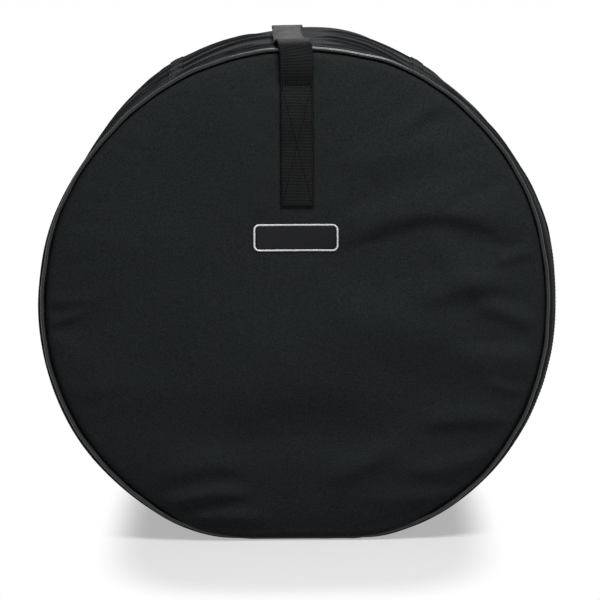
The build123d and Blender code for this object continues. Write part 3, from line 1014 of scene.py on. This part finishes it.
liningLook = {
    "inset": 10.2 * mm, "thick": 1.0 * mm, "step": 8 * mm, "depthStep": 9 * mm, "faceY": 0.2019,
    "rimY": 0.2006, "hingeRimY": 0.2010, "seamY": -0.1095,
    "zipGap": 16.4 * mm,  # from the middle of the zipper to the lining's edges
    "discInset": 1.4 * mm,  # the face lining ends this far inside the wall lining
    "discCells": 60,
    "drape": 0.5 * mm,
    "drapeWaves": (60, 47),
    "drapeRim": 6,  # the higher, the nearer to the rim it hangs loose
}
hingePanelLook = {
    "thick": 1.5 * mm, "step": 1.8 * mm, "fineRows": (0.5 * mm, 1.1 * mm, 2.0 * mm),
    "liningEnd": 6 * mm,  # its lining stops this far from the cross seams
    "liningSteps": (6 * mm, 3.2 * mm),
    "needleGap": 3 * mm,  # the twin rows lie this far from the seam
    "needleEnd": 11 * mm,
    "needleSunk": 0.1 * mm,
    "panelCut": (0.314, 0.094),  # flat sizes before sewing
    "liningCut": (0.292, 0.091),
}


def liningBand(runs, depths):
    s, y = np.meshgrid(runs, depths, indexing="ij")
    outer = wallPlace(s, y, liningLook["inset"], bag["innerShare"])
    inner = wallPlace(s, y, liningLook["inset"] + liningLook["thick"], bag["innerShare"])
    return shellParts(outer, inner, flatOn(s, y))


def buildHinge():
    seamY = bag["hingeSeamY"]
    depths = spaced(skirtFrontY, seamY - seamGap, hingePanelLook["step"], hingePanelLook["fineRows"])
    s, y = np.meshgrid(topRuns, depths, indexing="ij")
    inset = sag["rimTuck"] * (1 - ease((y - depths[0]) / sag["tuckReach"]))
    outer = wallPlace(s, y, inset)
    inner = wallPlace(s, y, inset + hingePanelLook["thick"])
    panel = wallPiece("hingePanel", shellParts(outer, inner, np.stack([s, y, inset], -1)))
    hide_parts("hinge_panel")
    bendAtHinge(panel)

    runStep, depthStep = hingePanelLook["liningSteps"]
    depths = spaced(-liningLook["hingeRimY"], seamY - seamGap, depthStep)
    runs = spaced(-seamRun + hingePanelLook["liningEnd"], seamRun - hingePanelLook["liningEnd"], runStep)
    lining = makePiece("hingeLining", *liningBand(runs, depths), "lining")
    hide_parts("hinge_lining")
    bendAtHinge(lining)

    # twin needle rows along the seam behind the hinge
    sewTo, sunk = seamRun - hingePanelLook["needleEnd"], hingePanelLook["needleSunk"]
    for body, side in (("hinge", -1), ("case", 1)):
        y = seamY + side * hingePanelLook["needleGap"]
        threads[body].append(
            stitchRow(lambda u, lift, y=y: wallPlace(u, y, sunk - lift), -sewTo, sewTo)
        )


seamTapeLook = {
    "wide": 18 * mm, "thick": 0.8 * mm, "lift": 0.35 * mm, "rows": 6.6 * mm,
    "step": 4.0 * mm, "fineRows": (0.6 * mm, 2 * mm, 4 * mm, 6 * mm),
    "across": (0, 0.25, 0.5, 0.72, 0.86, 0.97, 1),  # where the mesh is cut, as shares of half the width
    "pinch": 0.3 * mm, "pinchWide": 0.9 * mm, "crown": 0.35 * mm, "crownWide": 2.2 * mm,
    "edgeRound": 0.7 * mm, "edgeThin": 0.8, "darkWide": 1.4 * mm,
    "threadLift": 0.35 * mm, "threadEnd": 4 * mm,
}


def buildSeamTapes():
    half, rows = seamTapeLook["wide"] / 2, seamTapeLook["rows"]
    depths = spaced(skirtFrontY, wallRearY, seamTapeLook["step"], seamTapeLook["fineRows"])
    shares = np.array(seamTapeLook["across"])
    across = np.concatenate([-shares[:0:-1], shares]) * half

    def lifted(s, y, height):
        tuck = sag["rimTuck"] * (1 - ease((wallRearY - np.abs(y)) / sag["tuckReach"]))
        return wallPlace(s, y, tuck - seamTapeLook["lift"] - height)

    for side, name, parts in (
        (-1, "seamTapeLeft", ("lid_seam_tape_left", "body_seam_tape_left")),
        (1, "seamTapeRight", ("lid_seam_tape_right", "body_seam_tape_right")),
    ):
        v, y = np.meshgrid(across, depths, indexing="ij")
        edgeRound = seamTapeLook["edgeRound"]
        edge = np.clip((np.abs(v) - (half - edgeRound)) / edgeRound, 0, 1)
        pinch = seamTapeLook["pinch"] * bell(np.abs(v) - rows, seamTapeLook["pinchWide"])
        crown = seamTapeLook["crown"] * bell(v, seamTapeLook["crownWide"])
        height = seamTapeLook["thick"] * np.sqrt(1 - seamTapeLook["edgeThin"] * edge**2) - pinch + crown
        s = side * seamRun + v
        # painted shade along the two stitched grooves of the tape
        grooveShade = -bell(np.abs(v) - rows, seamTapeLook["darkWide"])
        paintedLight = np.concatenate([grooveShade.reshape(-1)] * 2)
        shell = shellParts(lifted(s, y, height), lifted(s, y, y * 0), flatOn(y, v))
        tape = makePiece(name, *shell, "binding", paintedLight=paintedLight)
        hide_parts(*parts)
        bendAtHinge(tape)
        for v in (-rows, rows):
            row = stitchRow(
                lambda u, lift, v=v: lifted(side * seamRun + v, u, seamTapeLook["threadLift"] + lift),
                skirtFrontY + seamTapeLook["threadEnd"], wallRearY - seamTapeLook["threadEnd"],
            )
            threads["hinge"].append(row)


buildWall()
buildHinge()
buildSeamTapes()
print("wall, hinge and cross seams sewn")

# what is sewn on the front face
strapFoot = 0.3955
patchMiddle = (-2.6 * mm, 0.3592)


def discPattern(cells):
    # square grid of cells laid over the disc: share of the radius and run along the outline
    a = np.linspace(-1, 1, cells + 1)
    u, v = np.meshgrid(a, a, indexing="ij")
    share = np.maximum(np.abs(u), np.abs(v))
    wide = np.abs(u) >= np.abs(v)
    safeU = np.where(np.abs(u) < 1e-9, 1e-9, u)
    safeV = np.where(np.abs(v) < 1e-9, 1e-9, v)
    angle = np.where(wide, math.pi / 4 * v / safeU, math.pi / 2 - math.pi / 4 * u / safeV)
    angle = angle + np.where(wide, np.where(u < 0, math.pi, 0), np.where(v < 0, math.pi, 0))
    run = (math.pi / 2 - angle) / (2 * math.pi) * fullRun
    return share, run


def discPlaces(share, run, inset):
    x, z, nx, nz = wallPoint(run, inset)
    return x * share, centreZ + (z - centreZ) * share, nx, nz


def facePadParts(side, folds, rim, shift):
    # side is -1 for the front face and 1 for the back
    share, run = discPattern(face["cells"])
    share = 1 - (1 - share) ** face["finer"]
    low = ease((np.abs(clockOf(run)) - face["lowClock"]) / face["lowFade"])
    x, z, nx, nz = discPlaces(share, run, face["inset"] - (face["inset"] - face["lowInset"]) * low)
    inside = (1 - share) * (bag["radius"] - face["inset"])
    rise = faceRise(x, z, inside, folds, shift)
    aside = clockCurve(rim, clockOf(run)) * share**4
    px, pz = x + nx * aside, z + nz * aside
    outer = np.stack([px, side * (bag["faceY"] + rise), pz], -1)
    under = face["innerY"] - face["innerDip"] * (1 - share)
    inner = np.stack([px, side * under, pz], -1)
    return shellParts(outer, inner, np.stack([x, z, rise], -1))


settling = {
    "pressure": 2.6, "mass": 0.3, "quality": 5, "frames": 16, "tension": 18, "bending": 0.6,
    "slack": 0.0030,  # spare cloth, as a share of its length
    "cap": 3.6 * mm,
    "rimHeld": 14 * mm,
    "strapHalf": 26 * mm, "strapPast": 6 * mm, "patchHalf": (56 * mm, 23 * mm), "heldFade": 5 * mm,
}


def sewnDown(x, z):
    # one where the strap and the patch are sewn on, so the cloth can't lift there
    fade, (wide, high) = settling["heldFade"], settling["patchHalf"]
    pastFoot = z - strapFoot + settling["strapPast"]
    onStrap = ease((settling["strapHalf"] - np.abs(x)) / fade) * ease(pastFoot / fade)
    px, pz = x - patchMiddle[0], z - patchMiddle[1]
    onPatch = ease((wide - np.abs(px)) / fade) * ease((high - np.abs(pz)) / fade)
    return np.maximum(onStrap, onPatch)


def settleCloth(piece, held):
    # lets a padded cloth swell and crumple between the places that hold it
    scene = bpy.context.scene
    mesh = piece.data
    count = len(mesh.vertices)
    before = np.empty(count * 3, np.float32)
    mesh.vertices.foreach_get("co", before)
    group = piece.vertex_groups.new(name="held")
    for share in np.unique(np.round(held, 1)):
        members = np.nonzero(np.round(held, 1) == share)[0].tolist()
        group.add(members, float(share), "REPLACE")
    cloth = piece.modifiers.new("settling", "CLOTH")
    rules = cloth.settings
    rules.quality = settling["quality"]
    rules.mass = settling["mass"]
    rules.tension_stiffness = settling["tension"]
    rules.compression_stiffness = settling["tension"]
    rules.shear_stiffness = settling["tension"] / 2
    rules.bending_stiffness = settling["bending"]
    rules.use_pressure = True
    rules.uniform_pressure_force = settling["pressure"]
    rules.shrink_min = -settling["slack"]
    rules.vertex_group_mass = "held"
    rules.effector_weights.gravity = 0
    cloth.point_cache.frame_start = 1
    cloth.point_cache.frame_end = settling["frames"]
    for step in range(1, settling["frames"] + 1):
        scene.frame_set(step)
    after = np.empty(count * 3, np.float32)
    evaluated = piece.evaluated_get(bpy.context.evaluated_depsgraph_get())
    evaluated.data.vertices.foreach_get("co", after)
    move = (after - before).reshape(-1, 3)
    far = np.linalg.norm(move, axis=1, keepdims=True) + 1e-9
    move = move * np.tanh(far / settling["cap"]) * settling["cap"] / far
    piece.modifiers.remove(cloth)
    piece.vertex_groups.remove(group)
    scene.frame_set(1)
    mesh.vertices.foreach_set("co", (before.reshape(-1, 3) + move).reshape(-1))
    mesh.update()
    print("settled", piece.name, "by up to", round(float(far.max()) * 1000, 1), "mm")


def facePad(name, *shape):
    # the rim, the inner sheet and the sewn places stay put while the outer sheet settles
    parts = facePadParts(*shape)
    half = len(parts[0]) // 2
    x, z = parts[2][:half, 0], parts[2][:half, 1]
    rim = 1 - ease((edgeDistance(x, z) - face["inset"]) / settling["rimHeld"])
    piece = makePiece(name, *parts, "canvas")
    settleCloth(piece, np.concatenate([np.maximum(rim, sewnDown(x, z)), np.ones(half)]))
    return piece


def buildFaces():
    front = facePad("lidFacePad", -1, frontFolds, sag["frontRim"], 0.0)
    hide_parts("front_panel_fabric", "front_panel_foam")
    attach(front, "lid")
    back = facePad("backFacePad", 1, backFolds, sag["backRim"], face["backShift"])
    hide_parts("back_panel_fabric", "back_panel_foam")
    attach(back, "case")


piping = {
    "seat": 3.4 * mm, "radius": 2.3 * mm, "sides": 18, "step": 4.0 * mm, "offFloor": 0.2 * mm,
    "strays": (0.25 * mm, 0.2 * mm), "waves": (23, 41),  # the seam is never quite even
    "under": 4.2 * mm,  # how far it slips back under the bag along the flat base
    "underClock": 150, "underFade": 14,
    # the skin narrows to a lip where it goes into the seam, and laps over itself at the bottom
    "lip": 0.8, "lipTurn": 225, "lipSharp": 7,
    "lapFrom": 0.03, "lapHalf": 0.008, "lapSharp": 4, "lapSwell": 0.09,
}


def buildPiping(name, side, rim, body, parts):
    runs = np.linspace(-halfRun, halfRun, int(fullRun / piping["step"]), endpoint=False)
    clock = clockOf(runs)
    around = np.radians(clock)
    wobble = piping["strays"][0] * np.sin(around * piping["waves"][0] + side)
    wobble = wobble + piping["strays"][1] * np.sin(around * piping["waves"][1])
    x, z, nx, nz = wallPoint(runs, piping["seat"] - clockCurve(rim, clock) - wobble)
    z = np.maximum(z, piping["radius"] + piping["offFloor"])
    under = piping["under"] * ease((np.abs(clock) - piping["underClock"]) / piping["underFade"])
    centre = np.stack([x, side * (bag["faceY"] - piping["seat"] - under), z], -1)
    out, away = ringSides(nx, nz, side)
    lip = np.cos(turnsOf(piping["sides"]) - math.radians(piping["lipTurn"]))
    lip = np.clip(lip, 0, 1) ** piping["lipSharp"]
    fromLap = (runs - halfRun + piping["lapFrom"]) / piping["lapHalf"]
    lapped = np.exp(-(fromLap ** piping["lapSharp"])) * piping["lapSwell"]
    radius = piping["radius"] * (1 + piping["lip"] * lip[None] + lapped[:, None])
    tube = tubeParts(centre, out, away, radius, piping["sides"], flatOn(runs, runs * 0), loop=True)
    piece = makePiece(name, *tube, "vinyl", sharp=80)
    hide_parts(*parts)
    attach(piece, body)


buildFaces()
buildPiping("frontPiping", -1, sag["frontRim"], "lid", ("front_piping_sleeve", "front_piping_cord"))
buildPiping("backPiping", 1, sag["backRim"], "case", ("back_piping_sleeve", "back_piping_cord"))
print("faces and piping made")

# linings and the binding over their seams
bindingLook = {
    "wide": 4.2 * mm, "thick": 1.8 * mm, "count": 240, "sides": 12,
    "inset": 3.2 * mm, "behind": 2.3 * mm,
}


def liningDisc(side):
    share, run = discPattern(liningLook["discCells"])
    x, z = discPlaces(share, run, liningLook["inset"] + liningLook["discInset"])[:2]
    waveX, waveZ = liningLook["drapeWaves"]
    loose = 1 - share ** liningLook["drapeRim"]
    drape = liningLook["drape"] * np.sin(x * waveX) * np.sin(z * waveZ) * loose
    outer = np.stack([x, side * (liningLook["faceY"] - np.abs(drape)), z], -1)
    inner = outer - np.array([0, side * liningLook["thick"], 0])
    return shellParts(outer, inner, flatOn(x, z))


def bindingRing(side):
    # a folded tape over the raw edges where the face lining meets the wall lining
    runs = np.linspace(-halfRun, halfRun, bindingLook["count"], endpoint=False)
    x, z, nx, nz = wallPoint(runs, liningLook["inset"] + bindingLook["inset"])
    centre = np.stack([x, x * 0 + side * (liningLook["faceY"] - bindingLook["behind"]), z], -1)
    out, away = ringSides(nx, nz, side)
    radius = ovalRadius(turnsOf(bindingLook["sides"]), bindingLook["wide"], bindingLook["thick"])
    return tubeParts(centre, out, away, radius, bindingLook["sides"], flatOn(runs, runs * 0), loop=True)


def buildLinings():
    fullLow = spaced(seamRun, fullRun - seamRun, liningLook["step"])
    fullTop = spaced(-seamRun + seamGap, seamRun - seamGap, liningLook["step"])
    rimY, zipGap, depthStep = liningLook["rimY"], liningLook["zipGap"], liningLook["depthStep"]
    parts = [liningBand(fullLow, spaced(-rimY, zipY - zipGap, liningLook["step"])), liningDisc(-1)]
    lid = makePiece("lidLining", *joinParts(parts), "lining")
    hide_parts("front_panel_lining", "lid_skirt_lining")
    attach(lid, "lid")
    parts = [
        liningBand(fullLow, spaced(zipY + zipGap, rimY, depthStep)),
        liningBand(fullTop, spaced(liningLook["seamY"], rimY, depthStep)),
        liningDisc(1),
    ]
    case = makePiece("caseLining", *joinParts(parts), "lining")
    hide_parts("wall_lining", "top_panel_lining", "back_panel_lining")
    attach(case, "case")
    for name, side, body, part in (
        ("lidBinding", -1, "lid", "front_seam_binding"),
        ("caseBinding", 1, "case", "back_seam_binding"),
    ):
        ring = makePiece(name, *bindingRing(side), "binding", sharp=80)
        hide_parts(part)
        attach(ring, body)


buildLinings()
print("lining and binding in")

zipper = {
    "tapeInset": 3.5 * mm, "tapeThick": 0.8 * mm, "tapeNear": 0.9 * mm, "tapeFar": 16 * mm,
    "tapeStep": 5 * mm, "tapeRows": 9, "tapeEnd": 0.5 * mm,
    "ridge": 0.25 * mm, "ridgeAt": 5.4 * mm, "ridgeWide": 0.6 * mm,
    "pitch": 2.3 * mm, "wire": 0.36 * mm, "head": 0.17 * mm, "coilMiddle": 1.85 * mm,
    "coilHalf": 1.35 * mm, "coilInset": 1.9 * mm, "coilRise": 0.85 * mm, "coilEnd": mm,
    "headSharp": 3, "steps": 9, "sides": 5,
}


def zipTape(side):
    runs = spaced(seamRun + zipper["tapeEnd"], fullRun - seamRun - zipper["tapeEnd"], zipper["tapeStep"])
    near, far = zipY + side * zipper["tapeNear"], zipY + side * zipper["tapeFar"]
    depths = np.linspace(near, far, zipper["tapeRows"])
    s, y = np.meshgrid(runs, depths, indexing="ij")
    ridge = zipper["ridge"] * bell(np.abs(y - zipY) - zipper["ridgeAt"], zipper["ridgeWide"])
    outer = wallPlace(s, y, zipper["tapeInset"] - ridge)
    inner = wallPlace(s, y, zipper["tapeInset"] + zipper["tapeThick"])
    return shellParts(outer, inner, flatOn(s, y))


def zipCoil(side):
    # one long coil of nylon, with a wider head on each turn where it meets the other side
    turns = int((fullRun - 2 * seamRun - 2 * zipper["coilEnd"]) / zipper["pitch"])
    count = turns * zipper["steps"]
    spin = np.arange(count) / zipper["steps"] * 2 * math.pi
    half = 0.5 if side > 0 else 0.0
    run = seamRun + zipper["coilEnd"] + (spin / (2 * math.pi) + half) * zipper["pitch"]
    reach = np.cos(spin)
    y = zipY + side * (zipper["coilMiddle"] - zipper["coilHalf"] * reach)
    inset = zipper["coilInset"] - zipper["coilRise"] * np.sin(spin)
    x, z, nx, nz = wallPoint(run, inset - wallOut(run, np.full(count, zipY)))
    centre = np.stack([x, y, restOnFloor(z)], -1)
    ahead = np.gradient(centre, axis=0)
    ahead /= np.linalg.norm(ahead, axis=1, keepdims=True)
    out, across = ringSides(nx, nz, 1.0)
    first = out * np.sin(spin)[:, None] - across * (side * reach)[:, None]
    first -= ahead * np.sum(first * ahead, 1, keepdims=True)
    first /= np.linalg.norm(first, axis=1, keepdims=True)
    second = np.cross(ahead, first)
    thick = zipper["wire"] + zipper["head"] * np.clip(reach, 0, 1) ** zipper["headSharp"]
    cloth = np.stack([run, y, inset], -1)
    return tubeParts(centre, first, second, thick[:, None], zipper["sides"], cloth)


def buildZipSide(side, body, tapeName, coilName, tapePart, coilPart):
    tape = makePiece(tapeName, *zipTape(side), "zipTape")
    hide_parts(tapePart)
    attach(tape, body)
    coil = makePiece(coilName, *zipCoil(side), "coil", sharp=80)
    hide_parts(coilPart)
    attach(coil, body)


buildZipSide(-1, "lid", "zipTapeLid", "zipCoilLid", "zipper_tape_front", "zipper_coil_front")
buildZipSide(1, "case", "zipTapeCase", "zipCoilCase", "zipper_tape_rear", "zipper_coil_rear")
for name in ("upper_zipper_slider", "upper_zipper_pull", "lower_zipper_slider", "lower_zipper_pull"):
    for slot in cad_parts[name].material_slots:
        slot.material = materials["metal"]
print("zipper in")

strap = {
    "half": 19.4 * mm,
    "thick": 2.5 * mm,
    "offCloth": 0.4 * mm,
    "sewnTop": 0.536,
    "sewnBottom": strapFoot,
    "frontX": -0.6,  # in millimetres, and so is backX
    # middle of the loose stretch from the front rim over the top to the back, in millimetres
    "loose": [
        (-0.6, -219.4, 549), (-0.6, -220.6, 562), (-1.0, -220.4, 574), (-2.2, -217.0, 583.2),
        (-4.2, -209.5, 588.0), (-6.2, -200.5, 587.6), (-7.2, -192.0, 584.2), (-7.6, -183.0, 583.8),
        (-7.8, -170.0, 586.4), (-8.6, -140.0, 587.0), (-10.0, -80.0, 586.4), (-11.6, -20.0, 585.8),
        (-12.4, 14.0, 586.2), (-12.8, 60.0, 584.6), (-13.0, 120.0, 582.8), (-13.0, 175.0, 580.6),
        (-12.6, 199.0, 579.4), (-12.0, 211.5, 576.4), (-11.2, 218.4, 569.0), (-10.4, 220.4, 558.0),
        (-9.8, 219.6, 547.0),
    ],
    "backX": (-9.0, -6.5),
    "skew": -0.16,  # the turn over the rim is not square to the strap
    "skewSpan": 0.026,
    "bow": 4.2 * mm,  # the edges curl down along the top
    "narrow": 0.07,
    "topY": (0.19, 0.03),  # it bows and narrows between the rims, each over this distance
    "topZ": (0.56, 0.015),  # and from this height up
    "curl": 0.5 * mm,
    "curlWaves": (95, 60),
    "curlZ": (0.565, 0.02),
    "legZ": (0.540, 0.02),  # below this height it follows the faces
    "rimRun": 0.2005,
    "legRun": 0.1455,  # length of the sewn leg
    "legPoints": 12,
    "smooth": 16,  # steps between two points of the middle line
    "selvedge": 0.22 * mm,  # the rolled edge along both sides
    "selvedgeAt": 1.8 * mm,
    "selvedgeWide": 0.9 * mm,
    "edgeRound": 1.25 * mm,
    "edgeThin": 0.94,
    "endRound": 1.0 * mm,
    "endThin": 0.5,
    # how the mesh is cut: across near the edges and between them, then along
    "edgeCuts": (1.2 * mm, 5),
    "middleCuts": (2.6 * mm, 15),
    "step": 2.6 * mm,
    "fineRows": (0.3 * mm, 0.8 * mm),
}


def strapCentreLine():
    gap = strap["thick"] / 2 + strap["offCloth"]
    low = np.linspace(strap["sewnBottom"], strap["sewnTop"], strap["legPoints"])
    frontX, backX = strap["frontX"] * mm, np.linspace(*strap["backX"], strap["legPoints"]) * mm
    front = [(frontX, float(frontSurface(np.array(0.0), z)) - gap, z) for z in low]
    loose = [(x * mm, y * mm, z * mm) for x, y, z in strap["loose"]]
    back = [(x, float(backSurface(np.array(x), z)) + gap, z) for x, z in zip(backX, low[::-1])]
    points = np.array(front + loose + back)
    # a smooth curve through all the points
    ends = np.vstack([2 * points[0] - points[1], points, 2 * points[-1] - points[-2]])
    line = []
    for i in range(1, len(ends) - 2):
        a, b, c, d = ends[i - 1 : i + 3]
        for t in np.linspace(0, 1, strap["smooth"], endpoint=False):
            square = (2 * a - 5 * b + 4 * c - d) * t**2
            cube = (3 * b - a - 3 * c + d) * t**3
            line.append(0.5 * (2 * b + (c - a) * t + square + cube))
    line = np.array(line + [points[-1]])
    run = np.concatenate([[0], np.cumsum(np.linalg.norm(np.diff(line, axis=0), axis=1))])
    # the outward side lies in the plane that the strap runs in
    ahead = np.gradient(line, run, axis=0)
    outward = np.stack([ahead[:, 0] * 0, -ahead[:, 2], ahead[:, 1]], -1)
    outward /= np.linalg.norm(outward, axis=1, keepdims=True)
    return run, line, outward


strapRun, strapLine, strapOut = strapCentreLine()
strapEnd = strapRun[-1]


def above(z, name):
    # goes from none to all over a short way from the height that the strap's value names
    height, reach = strap[name]
    return ease((z - height) / reach)


def strapPlace(u, w, lift):
    u, w, lift = np.broadcast_arrays(np.asarray(u, float), w, lift)
    # the rim turn sits a little further along on one edge than on the other
    turn = bell(u - strap["rimRun"], strap["skewSpan"])
    run = np.clip(u + strap["skew"] * w * turn, 0, strapEnd)
    middle, y, z = (np.interp(run, strapRun, strapLine[:, k]) for k in range(3))
    outY, outZ = (np.interp(run, strapRun, strapOut[:, k]) for k in (1, 2))
    topY, easeY = strap["topY"]
    onTop = ease((topY - np.abs(y)) / easeY) * above(z, "topZ")
    x = middle + w * (1 - strap["narrow"] * onTop)
    drop = strap["bow"] * (w / strap["half"]) ** 2 * onTop
    alongWave, acrossWave = strap["curlWaves"]
    curl = strap["curl"] * np.sin(u * alongWave + w * acrossWave) * above(z, "curlZ")
    up = lift - drop + curl
    place = np.stack([x, y + outY * up, z + outZ * up], -1)
    # on its two sewn legs the strap follows the face across its width too
    leg = 1 - above(z, "legZ")
    surface = np.where(
        y < 0,
        frontSurface(x, z) - frontSurface(middle, z),
        backSurface(x, z) - backSurface(middle, z),
    )
    place[..., 1] += surface * leg
    return place


def buildStrap():
    half = strap["half"]
    (edgeWide, edgeCount), (middleIn, middleCount) = strap["edgeCuts"], strap["middleCuts"]
    edge = np.linspace(half - edgeWide, half, edgeCount)
    middle = np.linspace(-half + middleIn, half - middleIn, middleCount)
    across = np.concatenate([-edge[::-1], middle, edge])
    runs = spaced(0, strapEnd, strap["step"], strap["fineRows"])
    u, w = np.meshgrid(runs, across, indexing="ij")
    side = np.clip((np.abs(w) - (half - strap["edgeRound"])) / strap["edgeRound"], 0, 1)
    end = np.clip(1 - np.minimum(u, strapEnd - u) / strap["endRound"], 0, 1)
    thick = strap["thick"] / 2 * np.sqrt(np.clip(1 - strap["edgeThin"] * side**2, 0, 1))
    thick = thick * np.sqrt(1 - strap["endThin"] * end**2)
    roll = strap["selvedge"] * bell(np.abs(w) - (half - strap["selvedgeAt"]), strap["selvedgeWide"])
    shell = shellParts(strapPlace(u, w, thick + roll), strapPlace(u, w, -thick), flatOn(u, w))
    piece = makePiece("carryStrap", *shell, "webbing")
    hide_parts("strap_front_end", "carry_strap", "strap_back_end")
    bendAtHinge(piece)


boxStitch = {
    "margin": 2.0 * mm, "bar": 4.6 * mm, "barRows": 3, "barFrom": 0.6,
    "pitch": 3.0 * mm, "length": 2.5 * mm, "width": 0.36 * mm, "height": 0.34 * mm,
    "sunk": 0.1 * mm,  # how deep the thread lies in the webbing
}


def boxStitches(front):
    # a box with a cross in it, and a bar of closer rows above
    half = strap["half"] - boxStitch["margin"]
    low = boxStitch["margin"]
    high = strap["legRun"] - boxStitch["bar"]
    lines = [((low, -half), (low, half)), ((low, half), (high, half)), ((high, half), (high, -half))]
    lines += [((high, -half), (low, -half)), ((low, -half), (high, half)), ((low, half), (high, -half))]
    for k in range(boxStitch["barRows"]):
        up = high + boxStitch["bar"] * (k + boxStitch["barFrom"]) / boxStitch["barRows"]
        lines.append(((up, -half), (up, half)))
    rows = []
    for (u0, w0), (u1, w1) in lines:
        length = math.hypot(u1 - u0, w1 - w0)

        def place(t, lift, u0=u0, w0=w0, u1=u1, w1=w1, length=length):
            u = u0 + (u1 - u0) * t / length
            w = w0 + (w1 - w0) * t / length
            u = u if front else strapEnd - u
            return strapPlace(u, w, strap["thick"] / 2 - boxStitch["sunk"] + lift)

        rows.append(stitchRow(place, 0, length, boxStitch))
    return rows


buildStrap()
for name, front, body, part in (
    ("strapStitchesFront", True, "lid", "strap_front_stitching"),
    ("strapStitchesBack", False, "case", "strap_back_stitching"),
):
    sewn = makePiece(name, *joinParts(boxStitches(front)), "thread")
    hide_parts(part)
    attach(sewn, body)
print("strap on, run", round(float(strapEnd), 3))

# plain patch below the strap's sewn end
patch = {
    "middle": patchMiddle, "wide": 98.6 * mm, "high": 31.6 * mm, "corner": 6.6 * mm,
    "thick": 1.2 * mm, "puff": 0.35 * mm, "puffShape": 3, "under": 0.3 * mm, "cuts": 168,
    "rings": (0.25, 0.5, 0.75, 0.88, 0.95),
    "edge": 2.1 * mm, "edgeOver": 0.7,  # the border laps over this much of its own width
    "edgeThick": 1.7 * mm, "edgeMiddle": 0.45, "edgeCuts": 620, "edgeSides": 10, "wraps": 0.07,
}


def roundedLoop(wide, high, corner, count):
    # evenly spaced points round a rounded rectangle, their outward directions and its length
    straight = [wide - 2 * corner, high - 2 * corner]
    arc = corner * math.pi / 2
    total = 2 * sum(straight) + 4 * arc
    places = []
    outs = []
    for t in np.linspace(0, total, count, endpoint=False):
        angle = 0.0
        x, z = -straight[0] / 2, high / 2
        for k in range(4):
            length = straight[k % 2]
            dx, dz = math.cos(angle), -math.sin(angle)
            nx, nz = -dz, dx
            if t <= length:
                x, z = x + dx * t, z + dz * t
                break
            t -= length
            x, z = x + dx * length, z + dz * length
            if t <= arc:
                turn = t / corner
                cx, cz = x - nx * corner, z - nz * corner
                cos, sin = math.cos(turn), math.sin(turn)
                nx, nz = nx * cos + dx * sin, nz * cos + dz * sin
                x, z = cx + nx * corner, cz + nz * corner
                break
            t -= arc
            x, z = x - nx * corner + dx * corner, z - nz * corner + dz * corner
            angle += math.pi / 2
        places.append((x, z))
        outs.append((nx, nz))
    return np.array(places), np.array(outs), total


def onPatch(x, z, lift):
    px, pz = patch["middle"][0] + x, patch["middle"][1] + z
    return np.stack([px, frontSurface(px, pz) - lift, pz], -1)


def patchParts():
    # rings of quads from the edge inwards, closed by a fan at the middle on both sides
    loop, outs = roundedLoop(patch["wide"], patch["high"], patch["corner"], patch["cuts"])[:2]
    shares = np.array(patch["rings"])
    grid = (loop - outs * patch["edge"] * patch["edgeOver"])[:, None] * shares[None, :, None]
    x, z = grid[..., 0], grid[..., 1]
    outer = onPatch(x, z, patch["thick"] + patch["puff"] * (1 - shares[None] ** patch["puffShape"]))
    inner = onPatch(x, z, patch["under"])
    size = x.size
    index = np.arange(size).reshape(x.shape)
    index = np.vstack([index, index[:1]])
    centre = np.array(0.0)
    tips = [onPatch(centre, centre, lift) for lift in (patch["thick"] + patch["puff"], patch["under"])]
    points = np.concatenate([outer.reshape(-1, 3), inner.reshape(-1, 3), np.stack(tips)])
    faces = [tuple(f) for f in quadsOf(index)]
    faces += [tuple(f[::-1]) for f in quadsOf(index + size)]
    faces += [tuple(f) for f in bridge(index[:, -1], index[:, -1] + size)]
    for a, b in zip(index[:-1, 0], index[1:, 0]):
        faces += [(a, b, 2 * size), (b + size, a + size, 2 * size + 1)]
    flat = flatOn(z, x).reshape(-1, 3)
    return points, faces, np.concatenate([flat, flat, np.zeros((2, 3))])


def patchEdgeParts():
    # overlocked edge: a fat rounded border of close-set thread
    count, sides = patch["edgeCuts"], patch["edgeSides"]
    loop, outs, total = roundedLoop(patch["wide"], patch["high"], patch["corner"], count)
    line = loop - outs * patch["edge"] / 2
    centre = onPatch(line[:, 0], line[:, 1], patch["edgeThick"] * patch["edgeMiddle"])
    out, away = ringSides(outs[:, 0], outs[:, 1], -1)
    wraps = 1 + patch["wraps"] * np.sin(np.arange(count) * math.pi / 2)
    radius = ovalRadius(turnsOf(sides), patch["edge"], patch["edgeThick"])[None] * wraps[:, None]
    along = np.linspace(0, total, count, endpoint=False)
    return tubeParts(centre, out, away, radius, sides, flatOn(along, along * 0), loop=True)


def buildPatch():
    piece = makePiece("labelPatch", *patchParts(), "patch")
    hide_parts("label_patch")
    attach(piece, "lid")
    edge = makePiece("labelEdge", *patchEdgeParts(), "patchEdge", sharp=80)
    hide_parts("label_patch_border")
    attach(edge, "lid")


buildPatch()
print("patch sewn on")

# all the rows of thread along the seams
for body, rows in threads.items():
    sewn = makePiece(body + "Stitches", *joinParts(rows), "thread")
    if body == "hinge":
        bendAtHinge(sewn)
    else:
        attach(sewn, body)
print("seams stitched")
